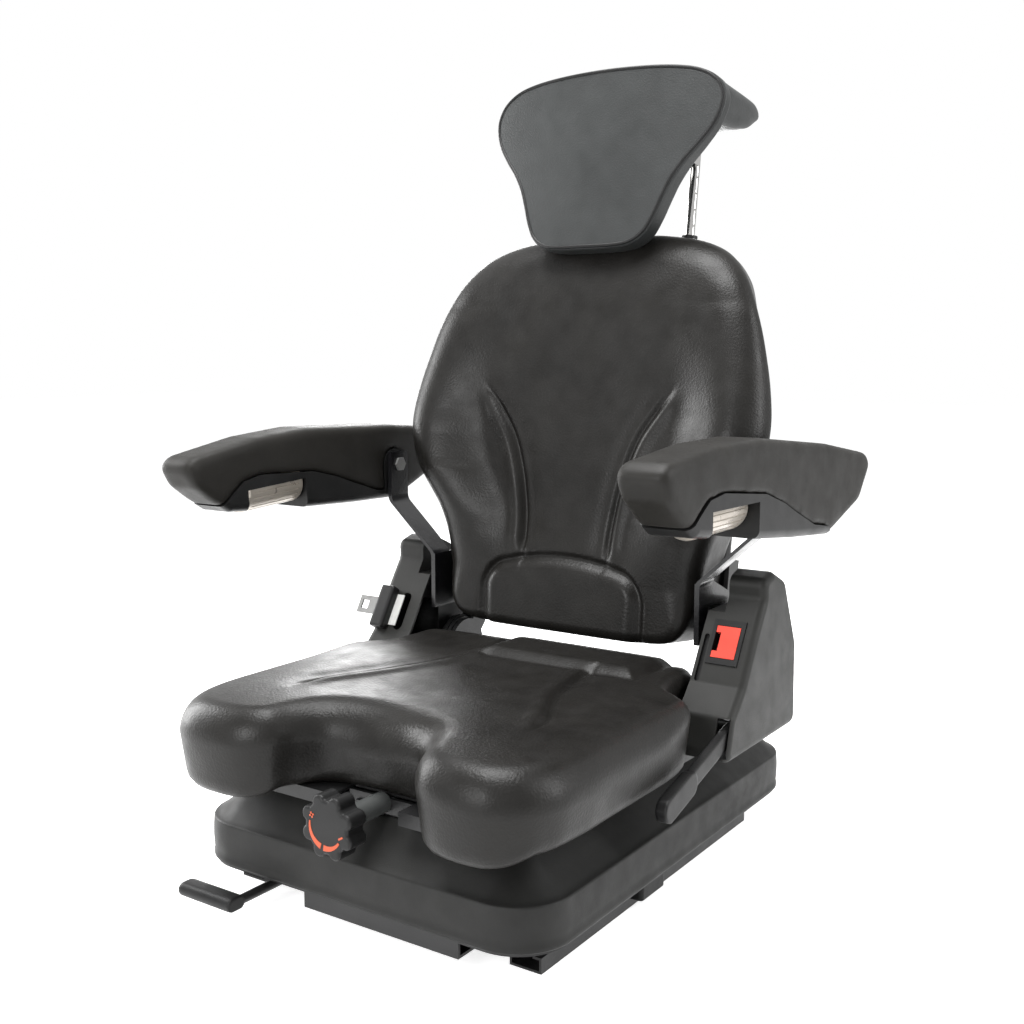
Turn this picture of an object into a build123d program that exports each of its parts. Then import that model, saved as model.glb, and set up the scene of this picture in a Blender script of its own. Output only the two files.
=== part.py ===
from build123d import *
import os
from math import asin, atan2, cos, degrees, radians, sin, tan

# Suspension seat for a tractor or garden machine, in millimetres.
# Origin: centre of the floor bolt pattern, on the underside of the lower rails.
# +Z is up, the sitter faces -Y, and +X is the sitter's left.

# Clearances
RUN = 0.05            # radial play of a pin or shaft in its bore
SLIDE = 0.3           # play between sliding or rolling faces

# Floor rails
RAIL_SPACING = 360    # between the centre lines of the two rails
RAIL_FRONT = -238
RAIL_REAR = 226
RAIL_WIDTH = 36
RAIL_HEIGHT = 16
RAIL_WALL = 2.5
RAIL_LIP = 7.5        # lip turned in on each upper edge
BOLT_SPACING_Y = 340
BOLT_HOLE_R = 4.5
LATCH_WINDOWS = 9
LATCH_PITCH = 15
LATCH_WINDOW = (8, 6)
UPPER_RAIL_FRONT = -205
UPPER_RAIL_REAR = 205
UPPER_RAIL_TOP = 33
FOOT_WIDTH = 24
FOOT_WALL = 3
NECK_WIDTH = 9
FLANGE_WIDTH = 30
GLIDE_UNDER = 3       # plastic between the foot and the rail floor
GLIDE_LENGTH = 45
GLIDE_AT = 165        # distance of each glide from the middle

# Base pan and boot
BOOT_OVERHANG = 39     # boot beyond the upper frame on each side
BOOT_FRONT = -288
BOOT_REAR = 309
BOOT_CORNER = 60
BOOT_WALL = 3
BOOT_BOTTOM = 36
BOOT_CREASE = 82      # height where the upright wall ends
BOOT_TOP_INSET = 44   # how far the boot closes in at its upper edge
PAN_SHEET = 3
PAN_RIM_TOP = 52
BEAM_X = (-60, 136)   # pressed beam under the front of the pan
BEAM_DEPTH = 28
BEAM_BOTTOM = 17
STOP_R = 14
STOP_PLAY = 1         # left between the stops and the frame at full travel

# Scissor suspension
TRAVEL = 40
ARM_LENGTH = 340      # between the end pivots
ARM_HEIGHT = 18
ARM_SHEET = 5
PIVOT_Y = 165         # fixed pivots at the rear
ARM_INSET = 28.5      # inner face of each outer arm, inside the frame's edge
ARM_STEP = 20         # from an outer arm to the inner arm beside it
ROLLER_R = 9
ROLLER_WIDTH = 8
ROLLER_PIN_R = 4
ROLLER_GAP = 1        # between a roller and its arm
SHAFT_R = 6
SLEEVE_R = 8.7
EAR_SHEET = 3
PIN_R = 6
PIN_HEAD_R = 9
PIN_PLAY = 0.6        # play of the centre pins in the inner arms
SPRING_BAR_R = 6
TRACK_SHEET = 2.5
TRACK_Y = (-205, -125)

# Upper frame and seat pan
FRAME_BOTTOM = 118
FRAME_SHEET = 6
FRAME_HALF_WIDTH = 186
FRAME_Y = (-238, 262)
WINDOW_HALF_WIDTH = 85
WINDOW_Y = (-208, 185)
SEAT_PAN_OVERHANG = 14
SEAT_PAN_Y = (-270, 112)
SEAT_PAN_TOP = 138
REAR_TRAY_INSET = 20
REAR_TRAY_END = 205
SEAT_PAN_SHEET = 2.5

# Weight adjuster and springs
KNOB_X = 10
KNOB_Z = 130
KNOB_FACE_Y = -326
KNOB_R = 27
KNOB_LOBES = 8
KNOB_LOBE_R = 8
KNOB_DEPTH = 24
SPINDLE_R = 3.5
COLLAR_R = 11
BRACKET_SHEET = 4
YOKE_Y = 138
YOKE_SHEET = 6
SPRING_R = 11
SPRING_HALF_SPACING = 55
SPRING_WIRE = 4
ADJUST = 10           # how far the yoke can be drawn back

# Damper
DAMPER_X = -95
DAMPER_LOW = (-120, 49)    # y and z of the lower eye
DAMPER_HIGH = (110, 105)   # y and z of the upper eye
DAMPER_TUBE_R = 11
DAMPER_BORE_R = 5.8
DAMPER_ROD_R = 5
DAMPER_EYE_R = 9
DAMPER_PIN_R = 4
DAMPER_EYE_WIDTH = 12

# Slide release
RELEASE_X = -118
RELEASE_Z = 22
RELEASE_R = 5
RELEASE_Y = (-332, -58)
GRIP_LENGTH = 78
GRIP_SIZE = (24, 15)
CLIP_AT = (-245, -100)
CLIP_LENGTH = 14
LATCH_COVER = (14, 52, 24)

# Seat cushion
CUSHION_OVERHANG = 61  # cushion beyond the upper frame on each side
CUSHION_FRONT = -332
CUSHION_WIDE_REAR = -4
CUSHION_REAR = 116
CUSHION_REAR_OVERHANG = 4
CUSHION_TOP = 228
CUSHION_CORNER = 78
CUSHION_EDGE = 30
NOTCH_X = 12
NOTCH_WIDTH = 176
NOTCH_DEPTH = 104
NOTCH_TOP = 172
NOTCH_CORNER = 40
RECESS_DEPTH = 78     # front of the cushion between the two lobes, above the notch
LOBE_CORNER = 36

# Backrest, described in its own leaning plane through the recliner axis
HINGE_Y = 160
HINGE_Z = 185
RECLINE = 8           # degrees the backrest leans back
BACK_BOTTOM = 47
BACK_TOP = 537
BACK_FRONT = 68
BACK_REAR = -8
BACK_EDGE = 24
BACK_WAIST = 30       # where the cushion is widest, out from the recliner plane
BOLSTER_HALF_WIDTH = 36
BACK_BEVEL = (46, 68)  # slope cut along the upper front edge, back and down
BACK_PAN_SHEET = 4
BACK_PAN_INSET = 8
TUBE_R = 12
TUBE_DROP = 78        # top of the tube below the headrest guides
TUBE_BEND = 60
SHELL_BOTTOM = 200
SHELL_DEPTH = 38
SHELL_WALL = 3.5
RECLINER_SHEET = 5.7
RECLINER_DISC_R = 36
RECLINER_PIN_R = 8
RECLINER_ARM_TOP = 150
RECLINER_ARM_WIDTH = 27
BASE_PLATE_SHEET = 5
CAP_R = 40
CAP_DEPTH = 11

# Side covers
COVER_STEP = 14       # inner edge of a cover beyond the upper frame
COVER_WIDTH = 64
COVER_WALL = 3
COVER_EDGE = 18
SCOOP_WIDTH = 20      # inner part cut down for the arm bracket
SCOOP_Z = 288
SCOOP_Y = 66
COVER_STUD_Y = (125, 200)
COVER_STUD_Z = 151
COVER_STUD_R = 6

# Seat belt
BUCKLE_IN = 33        # middle of the buckle inside the cover's outer face
BUCKLE_UP = 20        # along the sloping face, from its middle
BUCKLE_SIZE = (38, 52, 44)
BUCKLE_PROUD = 1.5
BUTTON_SIZE = (28, 37, 7)
BUTTON_TRAVEL = 4
BUTTON_PLAY = 0.6
TONGUE_SLOT = (6, 22)
GUIDE_SLOT = (6, 56)
GUIDE_SLOT_IN = 57
BELT_SLOT = (14, 52)
BELT_SLOT_IN = 40
TONGUE_SIZE = (50, 24, 2.5)
TONGUE_HOLE = (11, 12)
TONGUE_REACH = 28     # tip of the tongue beyond the cover
TONGUE_GRIP = (22, 58, 15)
TONGUE_GRIP_IN = 15
WEBBING_SHEET = 1.6
RETRACTOR_R = 27
RETRACTOR_Y = 158
RETRACTOR_Z = 215
RETRACTOR_GAP = 4     # from the recliner cap to the retractor
RETRACTOR_WIDTH = 50

# Armrests
ARM_FRONT_WIDTH = 53
ARM_REAR_WIDTH = 72
ARM_PIVOT_Y = 115
ARM_PIVOT_Z = 430
ARM_PIVOT_R = 6
ARM_BOSS_R = 20
ARM_EDGE = 9
RIGHT_ARM_TILT = 4    # degrees the right armrest is set lower
STRAP_SHEET = 6
STRAP_WIDTH = 34
STRAP_IN = 7          # inner face of the strap's upper end inside the cover's outer face
STRAP_LOW = 133       # start of the strap's slope above the recliner axis
STRAP_BEND = 14
STRAP_FOOT = 62       # lower end of the strap above the recliner axis
WASHER = 3
WHEEL_R = 24
WHEEL_IN = 26         # wheel axis from the armrest's inner face
WHEEL_FRONT = 264     # front end of the wheel ahead of the armrest pivot
WHEEL_LENGTH = 94
WHEEL_RISE = 2        # wheel axis above the armrest pivot
WINDOW_RISE = 5       # top of the side windows above the wheel axis
WHEEL_PLAY = 1
WHEEL_SHAFT_R = 5
WHEEL_RIBS = 24

# Headrest
ROD_X = 93
ROD_R = 6
ROD_BEHIND = 22       # distance of the rods behind the recliner plane
ROD_END_GAP = 13      # rod's lower end above the frame tube
ROD_NOTCHES = 4
ROD_NOTCH_PITCH = 20
GUIDE_R = 9.8
GUIDE_LENGTH = 65
GUIDE_PROUD = 6       # guides above the backrest
HEAD_OVERLAP = 26     # headrest below the top of the backrest
HEAD_HEIGHT = 224
HEAD_FRONT = 76       # front of its lower edge, in the middle
HEAD_THICK = 33
HEAD_LEAN = 3.6       # degrees it leans back from the backrest
HEAD_SAG = 18         # how far its sides curve back
HEAD_OUTLINE = ((58, 4), (86, 24), (112, 84), (152, 132), (163, 162), (146, 188), (104, 200))
HEAD_EDGE = 8
BOARD_SHEET = 6
CARRIER_HEIGHT = 40   # upper end of each rod, where it turns to the board
FLAP_HALF_WIDTH = 140
FLAP_ROOT = 66        # foot of the flap below the top of the headrest
FLAP_CORNER = 24
FLAP_EDGE = 7

# Recline lever
LEVER_IN = 15         # inner face of the lever inside the cover's outer face
LEVER_SHEET = 10
LEVER_HEIGHT = 20
LEVER_PIVOT = (52, 170)
LEVER_TIP = (-98, 129)
LEVER_PIVOT_R = 6

# Outline points, as distances from the recliner axis, the armrest pivot or the middle
BACK_SIDE = ((-28, 63), (-8, 110), (6, 180), (52, 248), (63, 305), (42, 410), (10, 486))
BACK_TAPER = (0, 0, 4, 30, 34, 26, 8)  # rear edge narrower than that, point by point
BOLSTER_SPINE = ((-65, 60, 62), (-35, 163, 76), (4, 235, 94), (23, 295, 89), (15, 373, 75),
                 (-7, 446, 58))  # middle beyond the frame, up the back, crest out from the plane
BACK_CROWN = (-46, 12)  # end of the flat crown, beyond the frame and below the top
ARM_OUTLINE = ((-352, 46), (-340, 22), (-318, 4), (-292, -14), (-212, -25), (-79, -39), (9, -46),
               (93, -18), (125, 22), (111, 36), (5, 52), (-155, 67), (-241, 66), (-337, 56))
INSERT_OUTLINE = ((-330, -60), (-304, -6), (-288, 6), (-270, 18), (-242, 22), (-154, 13), (-112, 0),
                  (-86, -11), (-37, -30), (1, -36), (36, -60))
BOSS_DROP = 38
FLAP_SIDE = ((-93, 11), (-112, 21), (-98, 34), (-75, 48))  # out from the recliner plane, below the top

# Worked-out widths, all from the upper frame
BOOT_HALF_WIDTH = FRAME_HALF_WIDTH + BOOT_OVERHANG
OUTER_ARM_X = FRAME_HALF_WIDTH - ARM_INSET
INNER_ARM_X = OUTER_ARM_X - ARM_STEP
SEAT_PAN_HALF_WIDTH = FRAME_HALF_WIDTH + SEAT_PAN_OVERHANG
REAR_TRAY_HALF_WIDTH = FRAME_HALF_WIDTH - REAR_TRAY_INSET
CUSHION_HALF_WIDTH = FRAME_HALF_WIDTH + CUSHION_OVERHANG
CUSHION_REAR_HALF_WIDTH = FRAME_HALF_WIDTH + CUSHION_REAR_OVERHANG
TUBE_X = FRAME_HALF_WIDTH - SLIDE - RECLINER_SHEET - TUBE_R
COVER_INNER = FRAME_HALF_WIDTH + COVER_STEP
COVER_OUTER = COVER_INNER + COVER_WIDTH
SCOOP_X = COVER_INNER + SCOOP_WIDTH
BUCKLE_X = COVER_OUTER - BUCKLE_IN
GUIDE_SLOT_X = COVER_OUTER - GUIDE_SLOT_IN
BELT_SLOT_X = COVER_OUTER - BELT_SLOT_IN
TONGUE_TIP_X = COVER_OUTER + TONGUE_REACH
TONGUE_GRIP_X = COVER_OUTER - TONGUE_GRIP_IN
CAP_FACE = FRAME_HALF_WIDTH + BASE_PLATE_SHEET + CAP_DEPTH
RETRACTOR_X = (CAP_FACE + RETRACTOR_GAP, CAP_FACE + RETRACTOR_GAP + RETRACTOR_WIDTH)
LEVER_X = (COVER_OUTER - LEVER_IN, COVER_OUTER - LEVER_IN + LEVER_SHEET)
STRAP_OUTER = COVER_OUTER - STRAP_IN
STRAP_LOW_Z = HINGE_Z + STRAP_LOW
STRAP_HIGH_Z = STRAP_LOW_Z + (STRAP_OUTER - FRAME_HALF_WIDTH) * 0.92
ARM_INNER = STRAP_OUTER + STRAP_SHEET + WASHER
ARM_OUTER_FRONT = ARM_INNER + ARM_FRONT_WIDTH
ARM_OUTER_REAR = ARM_INNER + ARM_REAR_WIDTH
WHEEL_X = ARM_INNER + WHEEL_IN
WHEEL_Y = (ARM_PIVOT_Y - WHEEL_FRONT, ARM_PIVOT_Y - WHEEL_FRONT + WHEEL_LENGTH)
WHEEL_Z = ARM_PIVOT_Z + WHEEL_RISE

# Worked-out heights of the headrest, all from the top of the backrest
GUIDE_TOP = BACK_TOP + GUIDE_PROUD
GUIDE_BOTTOM = GUIDE_TOP - GUIDE_LENGTH
TUBE_TOP = GUIDE_BOTTOM - TUBE_DROP
ROD_BOTTOM = TUBE_TOP + TUBE_R + ROD_END_GAP
HEAD_BOTTOM = BACK_TOP - HEAD_OVERLAP
HEAD_TOP = HEAD_BOTTOM + HEAD_HEIGHT
ROD_TOP = HEAD_TOP - FLAP_ROOT

# Worked-out heights of the suspension
PAN_TOP = UPPER_RAIL_TOP + PAN_SHEET
LOW_PIVOT_Z = PAN_TOP + ROLLER_R + SLIDE
HIGH_PIVOT_Z = FRAME_BOTTOM - ROLLER_R - SLIDE
ARM_ANGLE = degrees(asin((HIGH_PIVOT_Z - LOW_PIVOT_Z) / ARM_LENGTH))
ROLLER_Y = PIVOT_Y - ARM_LENGTH * cos(radians(ARM_ANGLE))
MIDDLE_Y = (PIVOT_Y + ROLLER_Y) / 2
MIDDLE_Z = (LOW_PIVOT_Z + HIGH_PIVOT_Z) / 2
FRAME_TOP = FRAME_BOTTOM + FRAME_SHEET
STOP_HEIGHT = FRAME_BOTTOM - PAN_TOP - TRAVEL - STOP_PLAY
LOW_ARM_ANGLE = degrees(asin((HIGH_PIVOT_Z - LOW_PIVOT_Z - TRAVEL) / ARM_LENGTH))
ROLLER_RUN = ARM_LENGTH * (cos(radians(LOW_ARM_ANGLE)) - cos(radians(ARM_ANGLE)))

# Leaning plane of the backrest: x across, y up the back, z towards the sitter
BACK = Plane(origin=(0, HINGE_Y, HINGE_Z), x_dir=(1, 0, 0),
             z_dir=(0, -cos(radians(RECLINE)), sin(radians(RECLINE))))

# Side view of a cover, as y and z points round its outline
COVER_SLOPE = ((62, 217), (91, 265))
COVER_OUTLINE = ((20, 140), (217, 140), (214, 240), (178, 318), (142, 334), (116, 326), (117, 305),
                 COVER_SLOPE[1], COVER_SLOPE[0], (34, 188))
SLOPE_ANGLE = degrees(atan2(COVER_SLOPE[1][0] - COVER_SLOPE[0][0],
                            COVER_SLOPE[1][1] - COVER_SLOPE[0][1]))
FACE = Plane(origin=(0, (COVER_SLOPE[0][0] + COVER_SLOPE[1][0]) / 2,
                     (COVER_SLOPE[0][1] + COVER_SLOPE[1][1]) / 2),
             x_dir=(1, 0, 0),
             z_dir=(0, -cos(radians(SLOPE_ANGLE)), sin(radians(SLOPE_ANGLE))))


def along_x(section, x0, x1):
    """Extrude a section drawn in y and z from x0 to x1."""
    return extrude(Plane.YZ.offset(x0) * section, amount=x1 - x0)


def along_y(section, y0, y1):
    """Extrude a section drawn in x and z from y0 to y1."""
    return extrude(Plane.XZ.offset(-y1) * section, amount=y1 - y0)


def along_z(section, z0, z1):
    """Extrude a section drawn in x and y from z0 to z1."""
    return extrude(Plane.XY.offset(z0) * section, amount=z1 - z0)


def area(a0, a1, b0, b1):
    """Rectangle between two pairs of coordinates in its sketch plane."""
    return Pos((a0 + a1) / 2, (b0 + b1) / 2) * Rectangle(a1 - a0, b1 - b0)


def block(x0, x1, y0, y1, z0, z1):
    return along_z(area(x0, x1, y0, y1), z0, z1)


def bar_x(y, z, radius, x0, x1):
    return along_x(Pos(y, z) * Circle(radius), x0, x1)


def bar_y(x, z, radius, y0, y1):
    return along_y(Pos(x, z) * Circle(radius), y0, y1)


def on_side(shape, side):
    """Keep a left-hand shape, or mirror it to the right-hand side."""
    return shape if side > 0 else mirror(shape, about=Plane.YZ)


def both_sides(shape):
    return Compound([shape.solid(), mirror(shape, about=Plane.YZ).solid()])


def in_plane(plane, shape):
    """Place a shape that was drawn in a plane's own coordinates."""
    return plane.location * shape


def polygon(points):
    return make_face(Polyline(*points, close=True))


def rounded(x0, x1, y0, y1, radius):
    return Pos((x0 + x1) / 2, (y0 + y1) / 2) * RectangleRounded(x1 - x0, y1 - y0, radius)


def link(start, end, height):
    """Round-ended bar between two points of a side view."""
    length = ((end[0] - start[0]) ** 2 + (end[1] - start[1]) ** 2) ** 0.5
    angle = degrees(atan2(end[1] - start[1], end[0] - start[0]))
    middle = Pos((start[0] + end[0]) / 2, (start[1] + end[1]) / 2)
    return middle * Rot(0, 0, angle) * SlotCenterToCenter(length, height)


# Floor rails and carriage

def lower_rail(side):
    half = RAIL_WIDTH / 2
    section = area(-half, half, 0, RAIL_HEIGHT)
    section -= area(-half + RAIL_WALL, half - RAIL_WALL, RAIL_WALL, RAIL_HEIGHT - RAIL_WALL)
    mouth = half - RAIL_WALL - RAIL_LIP
    section -= area(-mouth, mouth, RAIL_HEIGHT / 2, RAIL_HEIGHT + RAIL_WALL)
    rail = Pos(RAIL_SPACING / 2, 0, 0) * along_y(section, RAIL_FRONT, RAIL_REAR)
    for y in (-BOLT_SPACING_Y / 2, BOLT_SPACING_Y / 2):
        rail -= Pos(RAIL_SPACING / 2, y, 0) * Cylinder(BOLT_HOLE_R, 3 * RAIL_WALL)
    inner_wall = RAIL_SPACING / 2 - half
    length, height = LATCH_WINDOW
    for i in range(LATCH_WINDOWS):
        y = (i - (LATCH_WINDOWS - 1) / 2) * LATCH_PITCH - abs(RELEASE_Y[1])
        rail -= Pos(inner_wall, y, RAIL_HEIGHT / 2) * Box(3 * RAIL_WALL, length, height)
    return on_side(rail, side)


def rail_foot():
    """Foot and neck of the upper rail, as a section in x and z."""
    bottom = RAIL_WALL + GLIDE_UNDER
    foot = area(-FOOT_WIDTH / 2, FOOT_WIDTH / 2, bottom, bottom + FOOT_WALL)
    return foot + area(-NECK_WIDTH / 2, NECK_WIDTH / 2, bottom, UPPER_RAIL_TOP)


def upper_rail(side):
    flange = area(-FLANGE_WIDTH / 2, FLANGE_WIDTH / 2, UPPER_RAIL_TOP - FOOT_WALL, UPPER_RAIL_TOP)
    rail = along_y(rail_foot() + flange, UPPER_RAIL_FRONT, UPPER_RAIL_REAR)
    return on_side(Pos(RAIL_SPACING / 2, 0, 0) * rail, side)


def slide_glides():
    half = RAIL_WIDTH / 2 - RAIL_WALL - SLIDE
    section = area(-half, half, RAIL_WALL + SLIDE, RAIL_HEIGHT - RAIL_WALL - SLIDE) - rail_foot()
    glide = along_y(section, -GLIDE_LENGTH / 2, GLIDE_LENGTH / 2)
    pads = []
    for x in (-RAIL_SPACING / 2, RAIL_SPACING / 2):
        for y in (-GLIDE_AT, GLIDE_AT):
            pads.append((Pos(x, y, 0) * glide).solid())
    return Compound(pads)


def boot_outline(inset):
    return rounded(-BOOT_HALF_WIDTH + inset, BOOT_HALF_WIDTH - inset, BOOT_FRONT + inset,
                   BOOT_REAR - inset, BOOT_CORNER - inset)


def boot_body(inset, bottom, top):
    wall = along_z(boot_outline(inset), bottom, BOOT_CREASE)
    roof = loft([Plane.XY.offset(BOOT_CREASE) * boot_outline(inset),
                 Plane.XY.offset(top) * boot_outline(inset + BOOT_TOP_INSET)])
    return wall + roof


def suspension_boot():
    top = FRAME_BOTTOM - SLIDE
    outer = boot_body(0, BOOT_BOTTOM, top)
    return outer - boot_body(BOOT_WALL, BOOT_BOTTOM, top)


def base_pan():
    inset = BOOT_WALL + SLIDE
    pan = along_z(boot_outline(inset), UPPER_RAIL_TOP, PAN_RIM_TOP)
    pan -= along_z(boot_outline(inset + PAN_SHEET), PAN_TOP, PAN_RIM_TOP)
    front = BOOT_FRONT + inset
    beam = area(front, front + BEAM_DEPTH, BEAM_BOTTOM, UPPER_RAIL_TOP)
    beam -= area(front + PAN_SHEET, front + BEAM_DEPTH - PAN_SHEET, BEAM_BOTTOM + PAN_SHEET,
                 UPPER_RAIL_TOP)
    pan += along_x(beam, *BEAM_X)
    pan += pivot_ears(OUTER_ARM_X + ARM_SHEET + ROLLER_GAP, PAN_TOP, LOW_PIVOT_Z)
    pan += lower_tracks()
    low_y, low_z = DAMPER_LOW
    pan += damper_ears(low_y, PAN_TOP, low_z)
    for y in CLIP_AT:
        clip = area(RELEASE_X - 2 * RELEASE_R, RELEASE_X + 2 * RELEASE_R,
                    RELEASE_Z - 1.6 * RELEASE_R, UPPER_RAIL_TOP)
        clip -= Pos(RELEASE_X, RELEASE_Z) * Circle(RELEASE_R + RUN)
        pan += along_y(clip, y - CLIP_LENGTH / 2, y + CLIP_LENGTH / 2)
    return pan


def pivot_ears(x, base_z, pivot_z):
    """Pair of sheet ears that hold the two ends of a pivot shaft."""
    ear = area(PIVOT_Y - 2 * SHAFT_R, PIVOT_Y + 2 * SHAFT_R, min(base_z, pivot_z),
               max(base_z, pivot_z))
    ear += Pos(PIVOT_Y, pivot_z) * Circle(2 * SHAFT_R - ROLLER_GAP * 3)
    ear -= Pos(PIVOT_Y, pivot_z) * Circle(SHAFT_R + RUN)
    solid = along_x(ear, x, x + EAR_SHEET)
    return solid + mirror(solid, about=Plane.YZ)


def damper_ears(y, base_z, pivot_z):
    ear = area(y - DAMPER_EYE_R, y + DAMPER_EYE_R, min(base_z, pivot_z), max(base_z, pivot_z))
    ear += Pos(y, pivot_z) * Circle(DAMPER_EYE_R)
    half = DAMPER_EYE_WIDTH / 2 + SLIDE
    ears = along_x(ear, DAMPER_X - half - EAR_SHEET, DAMPER_X - half)
    ears += along_x(ear, DAMPER_X + half, DAMPER_X + half + EAR_SHEET)
    reach = half + EAR_SHEET
    return ears + bar_x(y, pivot_z, DAMPER_PIN_R, DAMPER_X - reach, DAMPER_X + reach)


def lower_tracks():
    """Angle rails that keep the lower rollers down on the pan."""
    roof = PAN_TOP + 2 * ROLLER_R + 2 * SLIDE
    outer = INNER_ARM_X - ROLLER_GAP
    inner = outer - ROLLER_WIDTH - 2 * ROLLER_GAP
    section = area(inner, outer, roof, roof + TRACK_SHEET)
    section += area(inner - TRACK_SHEET, inner, PAN_TOP, roof + TRACK_SHEET)
    track = along_y(section, *TRACK_Y)
    return track + mirror(track, about=Plane.YZ)


def bump_stops():
    stop = Pos(0, 0, PAN_TOP + STOP_HEIGHT / 2) * Cylinder(STOP_R, STOP_HEIGHT)
    stop = fillet(stop.edges().group_by(Axis.Z)[-1], STOP_R / 3)
    x = BOOT_HALF_WIDTH - BOOT_CORNER
    return Compound([(Pos(x, BOOT_FRONT + BOOT_CORNER, 0) * stop).solid(),
                     (Pos(-x, BOOT_FRONT + BOOT_CORNER, 0) * stop).solid(),
                     (Pos(x, BOOT_REAR - BOOT_CORNER, 0) * stop).solid(),
                     (Pos(-x, BOOT_REAR - BOOT_CORNER, 0) * stop).solid()])


def rail_latch_cover():
    width, length, height = LATCH_COVER
    x = RAIL_SPACING / 2 + RAIL_WIDTH / 2 + SLIDE
    y = -length / 2 - 2 * LATCH_PITCH / 2
    cover = block(x, x + width, y - length / 2, y + length / 2, UPPER_RAIL_TOP - height, UPPER_RAIL_TOP)
    cover = fillet(cover.edges().filter_by(Axis.Z).group_by(Axis.X)[-1], width / 3)
    return fillet(cover.faces().sort_by(Axis.Z)[0].edges(), width / 8)


def pivot_shaft(z, ear_x):
    reach = ear_x + EAR_SHEET + ROLLER_GAP
    return bar_x(PIVOT_Y, z, SHAFT_R, -reach, reach)


# Slide release

def slide_release_bar():
    front, rear = RELEASE_Y
    bar = bar_y(RELEASE_X, RELEASE_Z, RELEASE_R, front, rear)
    stub = bar_x(front + RELEASE_R, RELEASE_Z, RELEASE_R, RELEASE_X - GRIP_LENGTH * 0.7, RELEASE_X)
    inner_face = RAIL_SPACING / 2 - RAIL_WIDTH / 2 - 2 * SLIDE
    pawl = block(-inner_face, RELEASE_X, rear - 2 * LATCH_PITCH + LATCH_WINDOW[0], rear,
                 RELEASE_Z - RELEASE_R, RELEASE_Z)
    return bar + stub + pawl


def slide_handle_grip():
    depth, height = GRIP_SIZE
    y = RELEASE_Y[0] + RELEASE_R
    x1 = RELEASE_X + RELEASE_R
    section = Pos(y, RELEASE_Z) * SlotOverall(depth, height)
    grip = along_x(section, x1 - GRIP_LENGTH, x1)
    grip = fillet(grip.edges().group_by(Axis.X)[0], height / 3)
    return grip - slide_release_bar()


# Scissor arms, rollers, springs and damper

def scissor_arm(pivot_z, roller_z, x):
    start, end = (PIVOT_Y, pivot_z), (ROLLER_Y, roller_z)
    return along_x(link(start, end, ARM_HEIGHT), x, x + ARM_SHEET)


def outer_scissor_arms():
    arm = scissor_arm(LOW_PIVOT_Z, HIGH_PIVOT_Z, OUTER_ARM_X)
    stub = OUTER_ARM_X + ARM_SHEET
    arm += bar_x(ROLLER_Y, HIGH_PIVOT_Z, ROLLER_PIN_R, stub, stub + 2 * ROLLER_GAP + ROLLER_WIDTH)
    arms = arm + mirror(arm, about=Plane.YZ)
    arms += bar_x(PIVOT_Y, LOW_PIVOT_Z, SLEEVE_R, -OUTER_ARM_X, OUTER_ARM_X)
    arms += bar_x(ROLLER_Y, HIGH_PIVOT_Z, SPRING_BAR_R, -OUTER_ARM_X, OUTER_ARM_X)
    reach = OUTER_ARM_X + 2 * ARM_SHEET
    arms -= bar_x(PIVOT_Y, LOW_PIVOT_Z, SHAFT_R + RUN, -reach, reach)
    return arms - bar_x(MIDDLE_Y, MIDDLE_Z, PIN_R + RUN, -reach, reach)


def inner_scissor_arms():
    arm = scissor_arm(HIGH_PIVOT_Z, LOW_PIVOT_Z, INNER_ARM_X)
    arm += bar_x(ROLLER_Y, LOW_PIVOT_Z, ROLLER_PIN_R,
                 INNER_ARM_X - 2 * ROLLER_GAP - ROLLER_WIDTH, INNER_ARM_X)
    arms = arm + mirror(arm, about=Plane.YZ)
    arms += bar_x(PIVOT_Y, HIGH_PIVOT_Z, SLEEVE_R, -INNER_ARM_X, INNER_ARM_X)
    reach = INNER_ARM_X + 2 * ARM_SHEET
    arms -= bar_x(PIVOT_Y, HIGH_PIVOT_Z, SHAFT_R + RUN, -reach, reach)
    return arms - bar_x(MIDDLE_Y, MIDDLE_Z, PIN_R + PIN_PLAY, -reach, reach)


def scissor_pivot_pins():
    outer_face = OUTER_ARM_X + ARM_SHEET
    pin = bar_x(MIDDLE_Y, MIDDLE_Z, PIN_R, INNER_ARM_X - ROLLER_GAP, outer_face)
    pin += bar_x(MIDDLE_Y, MIDDLE_Z, PIN_HEAD_R, outer_face, outer_face + ARM_SHEET / 2)
    return both_sides(pin)


def roller_pair(z, x):
    ring = Pos(ROLLER_Y, z) * (Circle(ROLLER_R) - Circle(ROLLER_PIN_R + RUN))
    return both_sides(along_x(ring, x, x + ROLLER_WIDTH))


def upper_rollers():
    return roller_pair(HIGH_PIVOT_Z, OUTER_ARM_X + ARM_SHEET + ROLLER_GAP)


def lower_rollers():
    return roller_pair(LOW_PIVOT_Z, INNER_ARM_X - ROLLER_GAP - ROLLER_WIDTH)


def spring_places():
    return KNOB_X - SPRING_HALF_SPACING, KNOB_X + SPRING_HALF_SPACING


def suspension_springs():
    """Outer form of the two extension springs, each with a long eye round the front bar."""
    springs = []
    inner = SPRING_BAR_R + SLIDE
    front = ROLLER_Y - ROLLER_RUN - ADJUST - SLIDE
    coil_front = ROLLER_Y + inner + SPRING_WIRE + SPRING_R
    eye = link((front, HIGH_PIVOT_Z), (coil_front, HIGH_PIVOT_Z), 2 * inner + 2 * SPRING_WIRE)
    eye -= link((front, HIGH_PIVOT_Z), (ROLLER_Y, HIGH_PIVOT_Z), 2 * inner)
    for x in spring_places():
        spring = bar_y(x, HIGH_PIVOT_Z, SPRING_R, coil_front, YOKE_Y)
        spring -= bar_y(x, HIGH_PIVOT_Z, SPRING_R - SPRING_WIRE, coil_front + SPRING_R, YOKE_Y)
        spring += along_x(eye, x - SPRING_WIRE / 2, x + SPRING_WIRE / 2)
        springs.append(spring.solid())
    return Compound(springs)


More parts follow.
